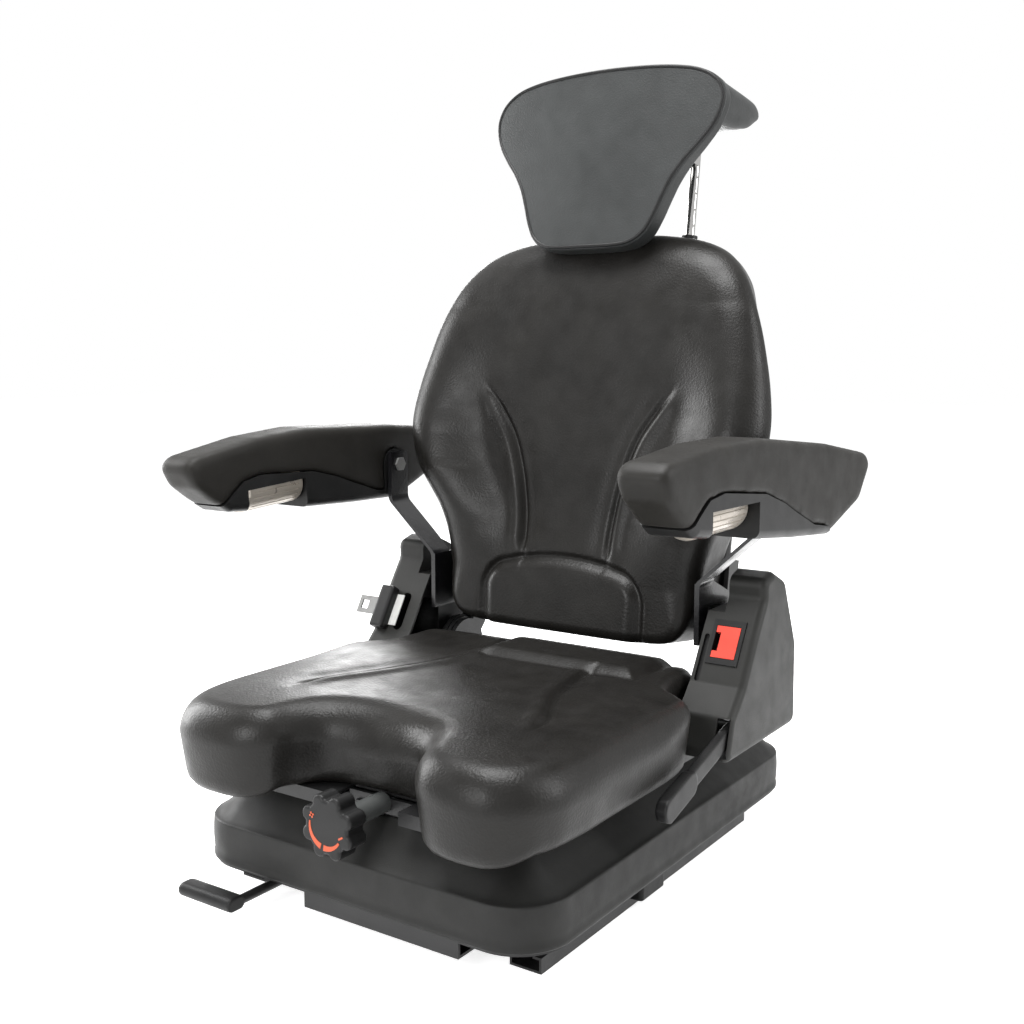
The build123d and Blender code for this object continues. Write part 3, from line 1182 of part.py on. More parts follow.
LEFT, RIGHT = 1, -1
NODES = {
    "lower_rail_left": lower_rail(LEFT),
    "lower_rail_right": lower_rail(RIGHT),
    "upper_rail_left": upper_rail(LEFT),
    "upper_rail_right": upper_rail(RIGHT),
    "slide_glides": slide_glides(),
    "base_pan": base_pan(),
    "bump_stops": bump_stops(),
    "rail_latch_cover": rail_latch_cover(),
    "suspension_boot": suspension_boot(),
    "lower_pivot_shaft": pivot_shaft(LOW_PIVOT_Z, OUTER_ARM_X + ARM_SHEET + ROLLER_GAP),
    "slide_release_bar": slide_release_bar(),
    "slide_handle_grip": slide_handle_grip(),
    "outer_scissor_arms": outer_scissor_arms(),
    "scissor_pivot_pins": scissor_pivot_pins(),
    "inner_scissor_arms": inner_scissor_arms(),
    "upper_rollers": upper_rollers(),
    "lower_rollers": lower_rollers(),
    "suspension_springs": suspension_springs(),
    "spring_yoke": spring_yoke(),
    "damper_tube": damper_tube(),
    "damper_rod": damper_rod(),
    "upper_frame": upper_frame(),
    "upper_pivot_shaft": pivot_shaft(HIGH_PIVOT_Z, INNER_ARM_X + ARM_SHEET + ROLLER_GAP),
    "seat_pan": seat_pan(),
    "seat_cushion": seat_cushion(),
    "knob_bracket": knob_bracket(),
    "spindle_collar": spindle_collar(),
    "weight_knob": weight_knob(),
    "knob_spindle": knob_spindle(),
    "recliner_bases": recliner_bases(),
    "recliner_pins": recliner_pins(),
    "recliner_caps": recliner_caps(),
    "side_cover_left": side_cover_left(),
    "side_cover_right": side_cover_right(),
    "buckle_housing": buckle_housing(),
    "buckle_button": buckle_button(),
    "belt_retractor": belt_retractor(),
    "belt_webbing": belt_webbing(),
    "belt_tongue": belt_tongue(),
    "tongue_grip": tongue_grip(),
    "recline_lever": recline_lever(),
    "recliner_arm_left": recliner_arm(LEFT),
    "recliner_arm_right": recliner_arm(RIGHT),
    "backrest_cushion": backrest_cushion(),
    "backrest_pan": backrest_pan(),
    "backrest_frame": backrest_frame(),
    "backrest_shell": backrest_shell(),
    "headrest_guides": headrest_guides(),
    "headrest_frame": headrest_frame(),
    "headrest_cushion": headrest_cushion(),
    "headrest_flap": headrest_flap(),
    "arm_bracket_left": arm_bracket(LEFT),
    "arm_bracket_right": arm_bracket(RIGHT),
    "armrest_pivot_bolts": armrest_pivot_bolts(),
    "armrest_pad_left": armrest_pad(LEFT),
    "armrest_pad_right": armrest_pad(RIGHT),
    "armrest_insert_left": armrest_insert(LEFT),
    "armrest_insert_right": armrest_insert(RIGHT),
    "armrest_wheel_left": armrest_wheel(LEFT),
    "armrest_wheel_right": armrest_wheel(RIGHT),
}

os.makedirs("parts", exist_ok=True)
for name, shape in NODES.items():
    export_step(shape, f"parts/{name}.step")
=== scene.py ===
import math

import bmesh
import bpy
import numpy as np
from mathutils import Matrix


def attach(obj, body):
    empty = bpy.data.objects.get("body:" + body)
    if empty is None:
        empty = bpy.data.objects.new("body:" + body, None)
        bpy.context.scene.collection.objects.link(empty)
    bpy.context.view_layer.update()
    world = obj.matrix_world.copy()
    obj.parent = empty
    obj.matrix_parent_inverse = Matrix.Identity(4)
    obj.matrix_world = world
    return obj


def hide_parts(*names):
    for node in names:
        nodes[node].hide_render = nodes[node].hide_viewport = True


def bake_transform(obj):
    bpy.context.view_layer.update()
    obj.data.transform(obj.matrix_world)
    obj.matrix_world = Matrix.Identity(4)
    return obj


# Looks of a suspension seat. Shapes are given in millimetres in the part's frame:
# +X is the sitter's left, the sitter faces -Y, and +Z is up.

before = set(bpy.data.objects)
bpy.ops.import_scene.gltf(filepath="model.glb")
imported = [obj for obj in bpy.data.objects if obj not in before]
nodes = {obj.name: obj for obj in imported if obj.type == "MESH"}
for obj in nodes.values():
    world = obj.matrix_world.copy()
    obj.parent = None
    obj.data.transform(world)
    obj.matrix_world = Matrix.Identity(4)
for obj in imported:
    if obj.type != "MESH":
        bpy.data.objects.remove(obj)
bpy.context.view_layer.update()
scene = bpy.context.scene
MM = 0.001

# Camera, in metres and degrees
CAMERA_PLACE = (0.790, -1.155, 0.582)
CAMERA_DOWN = 7.53
CAMERA_TURN = 34.29
CAMERA_LENS = 43.43
CAMERA_SENSOR = 36

# Backrest plane: leans back about the recline hinge
BACK_LEAN = math.radians(8)
HINGE_Y = 160
HINGE_Z = 185

# Left halves of the backrest's and headrest's outlines, from the bottom to the top: across and up
BACK_HALF = ((0, 43.5), (60, 43.5), (116, 44.5), (150, 50), (167, 67), (174, 94), (178, 122),
             (184, 152), (196, 183), (217, 214), (237, 247), (247, 280), (249, 312), (244, 350),
             (236, 385), (226, 420), (213, 453), (196, 484), (170, 510), (134, 526), (90, 534),
             (45, 537), (0, 537.5))
HEAD_HALF = ((0, 511.5), (38, 512), (62, 516), (79, 528), (90, 548), (99, 571), (108, 592), (121, 613),
             (137, 633), (151, 653), (159, 673), (160, 691), (151, 709), (131, 722), (100, 729),
             (54, 733), (0, 734.5))
# Whole outline of the seat, seen from above
SEAT_OUTLINE = ((14, -252), (46, -253), (74, -261), (91, -281), (104, -307), (126, -326), (158, -333),
                (196, -329), (225, -309), (241, -276), (246, -232), (246.5, -180), (246.5, -120),
                (246.5, -60), (241, -20), (224, -5), (202, 8), (193, 40), (191, 76), (183, 104),
                (159, 114), (100, 116), (40, 116), (-40, 116), (-100, 116), (-154, 114), (-177, 104),
                (-186, 76), (-187, 40), (-193, 9), (-214, -4), (-231, -20), (-236, -60), (-237, -120),
                (-237, -180), (-236, -232), (-229, -276), (-213, -307), (-185, -326), (-146, -332),
                (-108, -327), (-81, -310), (-67, -283), (-48, -262), (-20, -253))

# Channels in the cushions: how they fade along their length, and their section
CHANNEL_STARTS = (0.0, 0.22)
CHANNEL_ENDS = (0.9, 1.0)
CHANNEL_END_FADE = 0.75
CHANNEL_WIDTH = 4.6
SHOULDER_OFF = 11
SHOULDER_WIDTH = 9
DIP_SHARE = 0.35
DIP_OFF = 12
DIP_WIDTH = 12

# Crease around a raised panel: how far outside its border, and its width
PANEL_CREASE_OFF = 4
PANEL_CREASE_WIDTH = 5

# Backrest: its faces, the hollow of its middle, the top that falls back, and its rolled edge
BACK_FRONT = 68
BACK_REAR = -8
BACK_CENTRE = (0.0, 270.0)
BACK_SIDE_FROM = 100
BACK_HOLLOW = 7
BACK_HOLLOW_WIDTH = 96
BACK_HOLLOW_LOW = (110, 200)
BACK_HOLLOW_HIGH = (330, 480)
BACK_FALL = 24
BACK_FALL_UP = (415, 545)
BACK_FALL_POWER = 1.4
BACK_ROLL = 14
BACK_ROLL_GROWS = (50, 120)
BACK_ROLL_DEEPER = 10
BACK_LIP = 6
BACK_CHANNEL = ((140, 354), (113, 320), (90, 286), (76, 250), (67, 213), (62, 178), (60, 134))
BACK_CHANNEL_DEPTH = 6.5
BACK_SHOULDER = 3.0

# Lumbar roll
LUMBAR_HALF = 108
LUMBAR_TOP = 132
LUMBAR_CORNER = 24
LUMBAR_ARCH = 0.0016
LUMBAR_RISE = 6
LUMBAR_EDGE = (-3, 13)
LUMBAR_CREASE = 4.5

# Bolsters: height up the back, how far the crest stands beyond the middle, and the rear edge's taper
BOLSTER_RISE = ((60, 0), (110, 4), (163, 13), (235, 31), (295, 27), (373, 13), (446, 0))
BACK_TAPER = ((110, 0), (180, 4), (248, 30), (305, 34), (410, 26), (486, 8), (530, 0))
BOLSTER_ROLL = 38
BOLSTER_SLOPE = 82
BOLSTER_ROLL_SHARE = 0.8

# Headrest
HEAD_LOW = 511
HEAD_FRONT = 76
HEAD_THICK = 33
HEAD_SLOPE = math.tan(math.radians(3.6))
HEAD_SAG = 0.00062
HEAD_CENTRE_UP = 640
HEAD_ROLL = (6.0, 4.5)
HEAD_LIP = 5
PIPING_R = 2.2
PIPING_IN = 3.5
PIPING_SUNK = 0.8

# Headrest flap: side view, ends that close, a seam near each end, and gathers near the headrest
FLAP_LOOP = ((30.5, 712), (20, 720), (-20, 722.5), (-60, 724), (-92, 723.5), (-107, 718), (-110, 710),
             (-98, 701), (-76, 688), (-40, 678), (0, 671.5), (24, 670), (31.5, 680))
FLAP_HALF = 140
FLAP_CROWDING = 0.06
FLAP_CLOSES = 130
FLAP_END_SIZE = 0.35
FLAP_SEAM = 127
FLAP_SEAM_DEPTH = 0.05
FLAP_SEAM_WIDTH = 2.2
GATHER_REACH = (-70, 30)
GATHER_HEIGHT = 1.5
GATHER_PITCH = 0.16
GATHER_SWAY = 1.3
GATHER_SWAY_PITCH = 0.043

# Seat cushion: crown, falling front and tail, and the dish where the sitter rests
SEAT_TOP = 226
SEAT_BASE = 138
SEAT_CENTRE = (12.0, -60.0)
SEAT_CROWN_FROM = 120
SEAT_CROWN = 0.0006
SEAT_FRONT_FROM = -230
SEAT_FRONT_FALL = 0.0005
SEAT_TAIL_FALL = 8
SEAT_TAIL_Y = (70, 114)
SEAT_DISH = 5
SEAT_DISH_X = 20
SEAT_DISH_WIDTH = 70
SEAT_DISH_FRONT = (-260, -160)
SEAT_DISH_REAR = (-40, 10)
SEAT_CHANNEL_LEFT = ((170, -222), (156, -165), (124, -98), (107, -26), (105, 12))
SEAT_CHANNEL_RIGHT = ((-129, -238), (-123, -190), (-89, -112), (-65, -37), (-56, 30))
SEAT_CHANNEL_DEPTH = 5.5
SEAT_SHOULDER = 2.8
REAR_PAD_X = (-52, 156)
REAR_PAD_FRONT = 8
REAR_PAD_RISE = 6
REAR_PAD_EDGE = (-2, 16)
REAR_PAD_CREASE = 3

# Edge of the seat: how far its roll comes in and how deep it is, at the rear, with what the front and
# the recess between the lobes add
SEAT_ROLL_IN = (14, 16, 24)
SEAT_ROLL_DEEP = (16, 18, 14)
SEAT_ROLL_FRONT = (-120, 0)
SEAT_LIP = 18
SEAT_DRAFT = 5
RECESS_WIDTH = 62
RECESS_FRONT = (-305, -262)
RECESS_REAR = (-200, -150)

# Front lobes: the line behind them, their middles, the place between them, and how far they hang down
SEAT_BEHIND = -190
LOBES = (173, -160)
LOBE_BETWEEN = 12
LOBE_PULL = 0.003
LOBE_LEAD = 0.1
LOBE_DROP = 11
LOBE_DROP_Y = (-322, -284)

# Rear shell: its front, its depth, and how its sides draw in
SHELL_FRONT = -12
SHELL_DEEP = 38
SHELL_KEPT = 150
SHELL_DRAW = 0.36

# Guide slot in the left cover: place, and the dark backing behind it; the backing closes the cover there,
# and its dark colour is painted shade for the inside of the slot
SLOPE_MIDDLE = (76.5, 241)
SLOPE_TURN = math.radians(31.1)
GUIDE_SLOT_X = 207
SHADE_BACKING_DEPTHS = (-6.2, -4.6)
SHADE_BACKING_HALF_WIDTH = 6.5
SHADE_BACKING_HALF_HEIGHT = 31

# Boot: plan, heights, lower lip as inset and rise, wall, crease and sloping roof
BOOT_HALF = 225
BOOT_FRONT = -288
BOOT_REAR = 309
BOOT_CORNER = 60
BOOT_LOW = 36
BOOT_CREASE = 82
BOOT_TOP = 117.7
BOOT_INSET = 44
BOOT_WALL = 2.6
BOOT_LIP = ((1.2, 0), (0.2, 1.5), (0.0, 5), (1.0, 7))
BOOT_LIP_TOP = 7
BOOT_BULGE = 1.0
BOOT_CREASE_R = 3
BOOT_CREASE_SPREAD = 1.6
BOOT_ROOF_IN = 5
BOOT_ROOF_SAG = 2.2
BOOT_WALL_STEPS = np.linspace(0.15, 1, 12)
BOOT_CREASE_TURNS = np.linspace(0.2, 1.2, 6)
BOOT_ROOF_STEPS = np.linspace(0.08, 1, 18)
BOOT_CORNER_POINTS = 20
BOOT_SIDE_POINTS = 42

# Weight knob, and the marks on its face
KNOB_X = 10
KNOB_Z = 130
KNOB_FACE = -326
MARK_REAR = KNOB_FACE + 0.2
MARK_FRONT = KNOB_FACE - 0.35
MARK_RADIUS = 20
MARK_LENGTH = 6
MARK_WIDTH = 1.8
ARC_POINTS = 28
# Arcs: degrees from and to, and widths there
KNOB_ARCS = {
    "knob_arc_long": ((168, 252), (1.6, 6.0)),
    "knob_arc_short": ((262, 326), (6.0, 2.2)),
}
# Strokes: degrees round the knob, and how the stroke is turned
KNOB_STROKES = {
    "knob_plus_flat": (150, 20),
    "knob_plus_upright": (150, 110),
    "knob_minus": (343, 30),
}

# Soft skins: name, CAD node, body, mesh step in millimetres and rounds of smoothing
ARM_SKIN = (2.6, 22)
SKINS = (
    ("knob_skin", "weight_knob", "weight_adjuster", 0.9, 8),
    ("slide_grip_skin", "slide_handle_grip", "slide_handle", 1.0, 24),
    ("tongue_grip_skin", "tongue_grip", "seat_frame", 1.0, 10),
    ("lever_skin", "recline_lever", "recline_handle", 1.2, 8),
)

# Floor and surroundings
FLOOR_HALF = 12
FLOOR_GREY = 0.8
FLOOR_GLOW = 0.78
WORLD_LIGHT = 0.34

# Lights: place, aim, width and height in metres, and power in watts
LIGHTS = {
    "left_box": ((-2.0, -0.3, 0.85), (0, 0, 0.45), (0.9, 1.5), 48),
    "right_box": ((1.9, 0.6, 1.2), (0, 0, 0.45), (0.5, 1.6), 26),
    "top_box": ((-0.1, -0.2, 2.3), (0, -0.1, 0.3), (1.5, 1.1), 78),
    "front_box": ((0.0, -2.2, 1.0), (0, 0.1, 0.5), (0.8, 1.0), 30),
    "rear_box": ((-1.3, 1.9, 0.9), (0, -0.1, 0.2), (1.3, 0.9), 34),
}

# Fineness of curves and forms; the rings of a pad lie on its face, its roll, its wall and its back
SPAN_POINTS = 24
BACK_POINTS = 480
BACK_RINGS = (110, 22, 12, 10)
BACK_CHANNEL_POINTS = 40
HEAD_POINTS = 420
HEAD_RINGS = (70, 10, 12, 10)
FLAP_POINTS = 84
FLAP_RINGS = 141
SEAT_POINTS = 560
SEAT_RINGS = (110, 20, 12, 10)
SEAT_CHANNEL_POINTS = 30
VIA_SHARE = 0.6
LIP_RINGS = 5


def step(low, high, value):
    """Smooth step from 0 at low to 1 at high."""
    t = np.clip((value - low) / (high - low), 0, 1)
    return t * t * (3 - 2 * t)


def bell(distance, width):
    return np.exp(-(distance / width) ** 2)


def along_table(table, value):
    """Second column of a table, read where the first has the value."""
    return np.interp(value, *zip(*table))


def mirrored(half):
    """Closed outline from its left half, which starts and ends on the middle line."""
    right = [(-x, up) for x, up in reversed(half[1:-1])]
    return list(half) + right


def smooth_spans(before, start, after, later):
    """Points on smooth spans, each from a start to the point after it."""
    before, start, after, later = (points[:, None] for points in (before, start, after, later))
    t = np.linspace(0, 1, SPAN_POINTS, endpoint=False)[None, :, None]
    dense = start + 0.5 * ((after - before) * t
                           + (2 * before - 5 * start + 4 * after - later) * t ** 2
                           + (3 * start - before - 3 * after + later) * t ** 3)
    return dense.reshape(-1, start.shape[-1])


def loop(points, count):
    """Smooth closed curve through the points, with evenly spaced samples."""
    start = np.array(points, float)
    dense = smooth_spans(np.roll(start, 1, 0), start, np.roll(start, -1, 0), np.roll(start, -2, 0))
    return even(np.vstack([dense, dense[:1]]), count + 1)[:-1]


def line(points, count):
    """Smooth open curve through the points, with evenly spaced samples."""
    inner = np.array(points, float)
    ends = np.vstack([2 * inner[0] - inner[1], inner, 2 * inner[-1] - inner[-2]])
    spans = len(inner) - 1
    dense = smooth_spans(*(ends[i:spans + i] for i in range(4)))
    return even(np.vstack([dense, inner[-1:]]), count)


def even(points, count):
    lengths = np.linalg.norm(np.diff(points, axis=0), axis=1)
    along = np.concatenate([[0], np.cumsum(lengths)])
    wanted = np.linspace(0, along[-1], count)
    return np.stack([np.interp(wanted, along, points[:, i]) for i in range(points.shape[1])], 1)


def beside(points, path):
    """For each point: distance to the path, signed by its side, and the share of the path's length there."""
    signed = np.zeros(len(points))
    share = np.zeros(len(points))
    best = np.full(len(points), np.inf)
    total = len(path) - 1
    for i in range(total):
        start = path[i]
        along = path[i + 1] - start
        t = np.clip(((points - start) @ along) / (along @ along), 0, 1)
        off = points - (start + t[:, None] * along)
        distance = np.linalg.norm(off, axis=1)
        side = np.sign(along[0] * off[:, 1] - along[1] * off[:, 0])
        near = distance < best
        best[near] = distance[near]
        signed[near] = (distance * side)[near]
        share[near] = ((i + t) / total)[near]
    return signed, share


def piece(name, points, faces, slot, body):
    """Smooth mesh from points in millimetres, riding on a body."""
    mesh = bpy.data.meshes.new(name)
    mesh.from_pydata((np.asarray(points) * MM).tolist(), [], faces)
    shell = bmesh.new()
    shell.from_mesh(mesh)
    bmesh.ops.recalc_face_normals(shell, faces=shell.faces)
    shell.to_mesh(mesh)
    shell.free()
    mesh.shade_smooth()
    obj = bpy.data.objects.new(name, mesh)
    scene.collection.objects.link(obj)
    mesh.materials.append(finish(slot))
    if body:
        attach(obj, body)
    return obj


def joined_rings(rings, closed_ends=True):
    """Points and faces of rings of equal length, each joined to the next, with a fan at each end."""
    count = len(rings[0])
    faces = []
    for r in range(len(rings) - 1):
        for i in range(count):
            j = (i + 1) % count
            faces.append((r * count + i, r * count + j, (r + 1) * count + j, (r + 1) * count + i))
    points = np.vstack(rings)
    if closed_ends:
        first, last = len(points), len(points) + 1
        points = np.vstack([points, rings[0].mean(0)[None], rings[-1].mean(0)[None]])
        end = (len(rings) - 1) * count
        for i in range(count):
            j = (i + 1) % count
            faces.append((first, j, i))
            faces.append((last, end + i, end + j))
    return points, faces


def moulded_pad(outline, centre, top, base, roll, lip, place, fineness, draft=0, via=None):
    """Closed crowned form over an outline: top face, rolled edge, side wall, and a flat back.

    top and base give heights over the outline's plane; roll is how far the edge roll comes in
    and how deep it is; draft is how far the wall leans in down to the back; via is a loop that the
    rings pass on their way out; place turns plane and height into the part's frame.
    """
    inner, rolled, wall, back = fineness
    centre = np.array(centre)
    along = np.roll(outline, -1, 0) - np.roll(outline, 1, 0)
    normal = np.stack([along[:, 1], -along[:, 0]], 1) / np.linalg.norm(along, axis=1)[:, None]
    normal *= np.sign(((outline - centre) * normal).sum(1).mean())
    roll_in, roll_deep = roll
    rings = []

    def inset(amount):
        return outline - normal * (amount * np.ones(len(outline)))[:, None]

    edge = inset(roll_in)
    for t in np.linspace(0, 1, inner)[1:]:
        if via is None:
            flat = centre + (edge - centre) * t
        elif t < VIA_SHARE:
            flat = centre + (via(edge) - centre) * t / VIA_SHARE
        else:
            flat = via(edge) + (edge - via(edge)) * (t - VIA_SHARE) / (1 - VIA_SHARE)
        rings.append(place(flat, top(flat)))
    for turn in np.linspace(math.pi / 2, 0, rolled)[1:]:
        flat = inset(roll_in * (1 - math.cos(turn)))
        rings.append(place(flat, top(flat) - roll_deep * (1 - math.sin(turn))))
    high = top(outline) - roll_deep
    low = np.minimum(base(outline) + lip, high)
    for t in np.linspace(0, 1, wall)[1:]:
        rings.append(place(inset(draft * t), high + (low - high) * t))
    for turn in np.linspace(0, math.pi / 2, LIP_RINGS)[1:]:
        flat = inset(draft + lip * (1 - math.cos(turn)))
        rings.append(place(flat, np.minimum(base(flat) + lip * (1 - math.sin(turn)), low)))
    rim = inset(draft + lip)
    for t in np.linspace(1, 0, back)[1:-1]:
        flat = centre + (rim - centre) * t
        rings.append(place(flat, base(flat)))
    return joined_rings(rings)


def closed_tube(path, radius, sides=10):
    """Points and faces of a round tube along a closed path."""
    along = np.roll(path, -1, 0) - np.roll(path, 1, 0)
    along /= np.linalg.norm(along, axis=1)[:, None]
    turn = np.linspace(0, 2 * math.pi, sides, endpoint=False)[:, None]
    up = np.array([0.0, 0.0, 1.0])
    rings = []
    for middle, ahead in zip(path, along):
        up = up - ahead * (up @ ahead)
        up /= np.linalg.norm(up)
        across = np.cross(ahead, up)
        rings.append(middle + radius * (np.cos(turn) * up + np.sin(turn) * across))
    points, faces = joined_rings(rings, closed_ends=False)
    last = (len(rings) - 1) * sides
    shift = min(range(sides), key=lambda k: np.linalg.norm(np.roll(rings[0], -k, 0) - rings[-1]))
    for i in range(sides):
        j = (i + 1) % sides
        faces.append((last + i, last + j, (j + shift) % sides, (i + shift) % sides))
    return points, faces


# Materials

# Leather grain: share of its scale at which it wanders, and how far; brushed lines: how long they are drawn
LEATHER_BEND = 0.35
LEATHER_WARP = 0.9
BRUSHED_STRETCH = 0.04

# Soft changes of colour and of gloss over a surface
MOTTLE_SCALE = 14
MOTTLE_SPAN = (0.35, 0.68)
SMEAR_SCALE = MOTTLE_SCALE * 3.1
SMEAR_SPAN = (0.3, 0.7)

# Finish of each slot: colour, second colour, roughness range, metallic share, gloss level,
# kind of grain, its scale per metre and its depth in millimetres
FINISHES = {
    "vinyl_back": ((0.0068, 0.0063, 0.0057), (0.0105, 0.0098, 0.0088), (0.33, 0.45),
                   0, 0.20, "leather", 420, 0.22),
    "vinyl_head": ((0.021, 0.0225, 0.0225), (0.029, 0.031, 0.031), (0.38, 0.50),
                   0, 0.26, "leather", 520, 0.20),
    "arm_foam": ((0.0085, 0.0078, 0.0066), (0.0125, 0.0115, 0.0098), (0.46, 0.60),
                 0, 0.20, "fine", 900, 0.20),
    "cover_plastic": ((0.0135, 0.0135, 0.0125), (0.018, 0.018, 0.0168), (0.42, 0.52),
                      0, 0.20, "fine", 1500, 0.10),
    "black_plastic": ((0.0075, 0.0075, 0.0077), (0.0115, 0.0115, 0.0115), (0.34, 0.48),
                      0, 0.20, "fine", 1300, 0.08),
    "boot_rubber": ((0.0085, 0.0085, 0.0080), (0.013, 0.013, 0.0122), (0.46, 0.60),
                    0, 0.24, "fine", 700, 0.12),
    "stop_rubber": ((0.010, 0.010, 0.010), (0.016, 0.016, 0.015), (0.60, 0.75),
                    0, 0.24, "fine", 500, 0.15),
    "silver_plastic": ((0.40, 0.36, 0.31), (0.48, 0.44, 0.39), (0.26, 0.36),
                       0.55, 0.40, "fine", 900, 0.04),
    "collar_plastic": ((0.060, 0.063, 0.062), (0.080, 0.084, 0.082), (0.40, 0.50),
                       0, 0.30, "fine", 1200, 0.06),
    "red_plastic": ((0.60, 0.046, 0.028), (0.70, 0.060, 0.038), (0.28, 0.38),
                    0, 0.40, "fine", 900, 0.04),
    "orange_ink": ((0.46, 0.080, 0.030), (0.56, 0.10, 0.042), (0.42, 0.52),
                   0, 0.30, "fine", 1400, 0.03),
    "glide_plastic": ((0.55, 0.55, 0.52), (0.62, 0.62, 0.59), (0.40, 0.50),
                      0, 0.40, "fine", 900, 0.05),
    "webbing": ((0.58, 0.58, 0.56), (0.70, 0.70, 0.68), (0.70, 0.82),
                0, 0.20, "weave", 700, 0.25),
    "black_paint": ((0.006, 0.006, 0.0068), (0.010, 0.010, 0.011), (0.16, 0.26),
                    0, 0.45, "fine", 260, 0.10),
    "grey_paint": ((0.012, 0.012, 0.0125), (0.018, 0.018, 0.018), (0.30, 0.42),
                   0, 0.30, "fine", 320, 0.10),
    "bright_steel": ((0.17, 0.17, 0.167), (0.23, 0.23, 0.225), (0.46, 0.58),
                     0.6, 0.30, "brushed", 900, 0.03),
    "chrome_rod": ((0.40, 0.395, 0.385), (0.47, 0.465, 0.455), (0.08, 0.16),
                   1, 0.50, "brushed", 1200, 0.01),
}
MADE = {}


def node(tree, kind, **inputs):
    made = tree.nodes.new(kind)
    for name, value in inputs.items():
        made.inputs[name.replace("_", " ")].default_value = value
    return made


def grain_height(tree, where, grain, scale):
    """Height pattern of a surface, as an output socket."""
    if grain == "leather":
        bend = node(tree, "ShaderNodeTexNoise", Scale=scale * LEATHER_BEND, Detail=2.0)
        tree.links.new(where, bend.inputs["Vector"])
        warp = tree.nodes.new("ShaderNodeVectorMath")
        warp.operation = "MULTIPLY_ADD"
        warp.inputs[1].default_value = (LEATHER_WARP / scale,) * 3
        tree.links.new(bend.outputs["Color"], warp.inputs[0])
        tree.links.new(where, warp.inputs[2])
        cells = node(tree, "ShaderNodeTexVoronoi", Scale=scale)
        cells.feature = "SMOOTH_F1"
        tree.links.new(warp.outputs[0], cells.inputs["Vector"])
        return cells.outputs["Distance"]
    if grain == "brushed":
        stretch = node(tree, "ShaderNodeMapping", Scale=(1.0, 1.0, BRUSHED_STRETCH))
        tree.links.new(where, stretch.inputs["Vector"])
        lines = node(tree, "ShaderNodeTexNoise", Scale=scale, Detail=3.0)
        tree.links.new(stretch.outputs[0], lines.inputs["Vector"])
        return lines.outputs["Fac"]
    if grain == "weave":
        threads = node(tree, "ShaderNodeTexWave", Scale=scale, Distortion=0.3)
        threads.bands_direction = "DIAGONAL"
        tree.links.new(where, threads.inputs["Vector"])
        return threads.outputs["Fac"]
    fine = node(tree, "ShaderNodeTexNoise", Scale=scale, Detail=4.0, Roughness=0.6)
    tree.links.new(where, fine.inputs["Vector"])
    return fine.outputs["Fac"]


def finish(slot):
    """Procedural material of a slot, made once."""
    if slot in MADE:
        return MADE[slot]
    dark, light, rough, metallic, level, grain, scale, depth = FINISHES[slot]
    material = bpy.data.materials.new("finish_" + slot)
    material.use_nodes = True
    tree = material.node_tree
    shader = tree.nodes["Principled BSDF"]
    where = tree.nodes.new("ShaderNodeTexCoord").outputs["Object"]
    mottle = node(tree, "ShaderNodeTexNoise", Scale=MOTTLE_SCALE, Detail=5.0, Roughness=0.62)
    tree.links.new(where, mottle.inputs["Vector"])
    colour = tree.nodes.new("ShaderNodeValToRGB")
    for end, tone, position in zip(colour.color_ramp.elements, (dark, light), MOTTLE_SPAN):
        end.color = (*tone, 1)
        end.position = position
    tree.links.new(mottle.outputs["Fac"], colour.inputs["Fac"])
    tree.links.new(colour.outputs["Color"], shader.inputs["Base Color"])
    gloss = tree.nodes.new("ShaderNodeMapRange")
    for socket, value in zip(("From Min", "From Max", "To Min", "To Max"), (*SMEAR_SPAN, *rough)):
        gloss.inputs[socket].default_value = value
    smear = node(tree, "ShaderNodeTexNoise", Scale=SMEAR_SCALE, Detail=4.0)
    tree.links.new(where, smear.inputs["Vector"])
    tree.links.new(smear.outputs["Fac"], gloss.inputs["Value"])
    tree.links.new(gloss.outputs["Result"], shader.inputs["Roughness"])
    shader.inputs["Metallic"].default_value = metallic
    shader.inputs["Specular IOR Level"].default_value = level
    relief = node(tree, "ShaderNodeBump", Strength=1.0, Distance=depth * MM)
    tree.links.new(grain_height(tree, where, grain, scale), relief.inputs["Height"])
    tree.links.new(relief.outputs["Normal"], shader.inputs["Normal"])
    MADE[slot] = material
    return material


def dress_nodes():
    """Each CAD node gets the finish of its own slot."""
    for obj in nodes.values():
        slots = [m.name.split(".")[0] for m in obj.data.materials if m]
        slot = slots[0] if slots and slots[0] in FINISHES else "black_plastic"
        obj.data.materials.clear()
        obj.data.materials.append(finish(slot))


# Places of flat outlines in the part's frame

def on_back(flat, out):
    """Backrest plane: across, up along the plane, and out towards the sitter."""
    y = HINGE_Y - out * math.cos(BACK_LEAN) + flat[:, 1] * math.sin(BACK_LEAN)
    z = HINGE_Z + flat[:, 1] * math.cos(BACK_LEAN) + out * math.sin(BACK_LEAN)
    return np.stack([flat[:, 0], y, z], 1)


def on_floor(flat, high):
    return np.stack([flat[:, 0], flat[:, 1], high], 1)


# Forms pressed into the cushions

def channel(points, path, depth, shoulder):
    """Channel along a path: a crease with a full roll on its outer side."""
    signed, share = beside(points, path)
    fade = step(*CHANNEL_STARTS, share) * (1 - CHANNEL_END_FADE * step(*CHANNEL_ENDS, share))
    crease = -depth * bell(signed, CHANNEL_WIDTH)
    roll = shoulder * bell(signed - SHOULDER_OFF, SHOULDER_WIDTH)
    inner = -DIP_SHARE * depth * bell(signed + DIP_OFF, DIP_WIDTH)
    return fade * (crease + roll + inner)


def panel(inside, rise, edge, crease):
    """Raised panel with a crease around it, from how far inside its border a point lies."""
    return rise * step(*edge, inside) - crease * bell(inside + PANEL_CREASE_OFF, PANEL_CREASE_WIDTH)


# Backrest

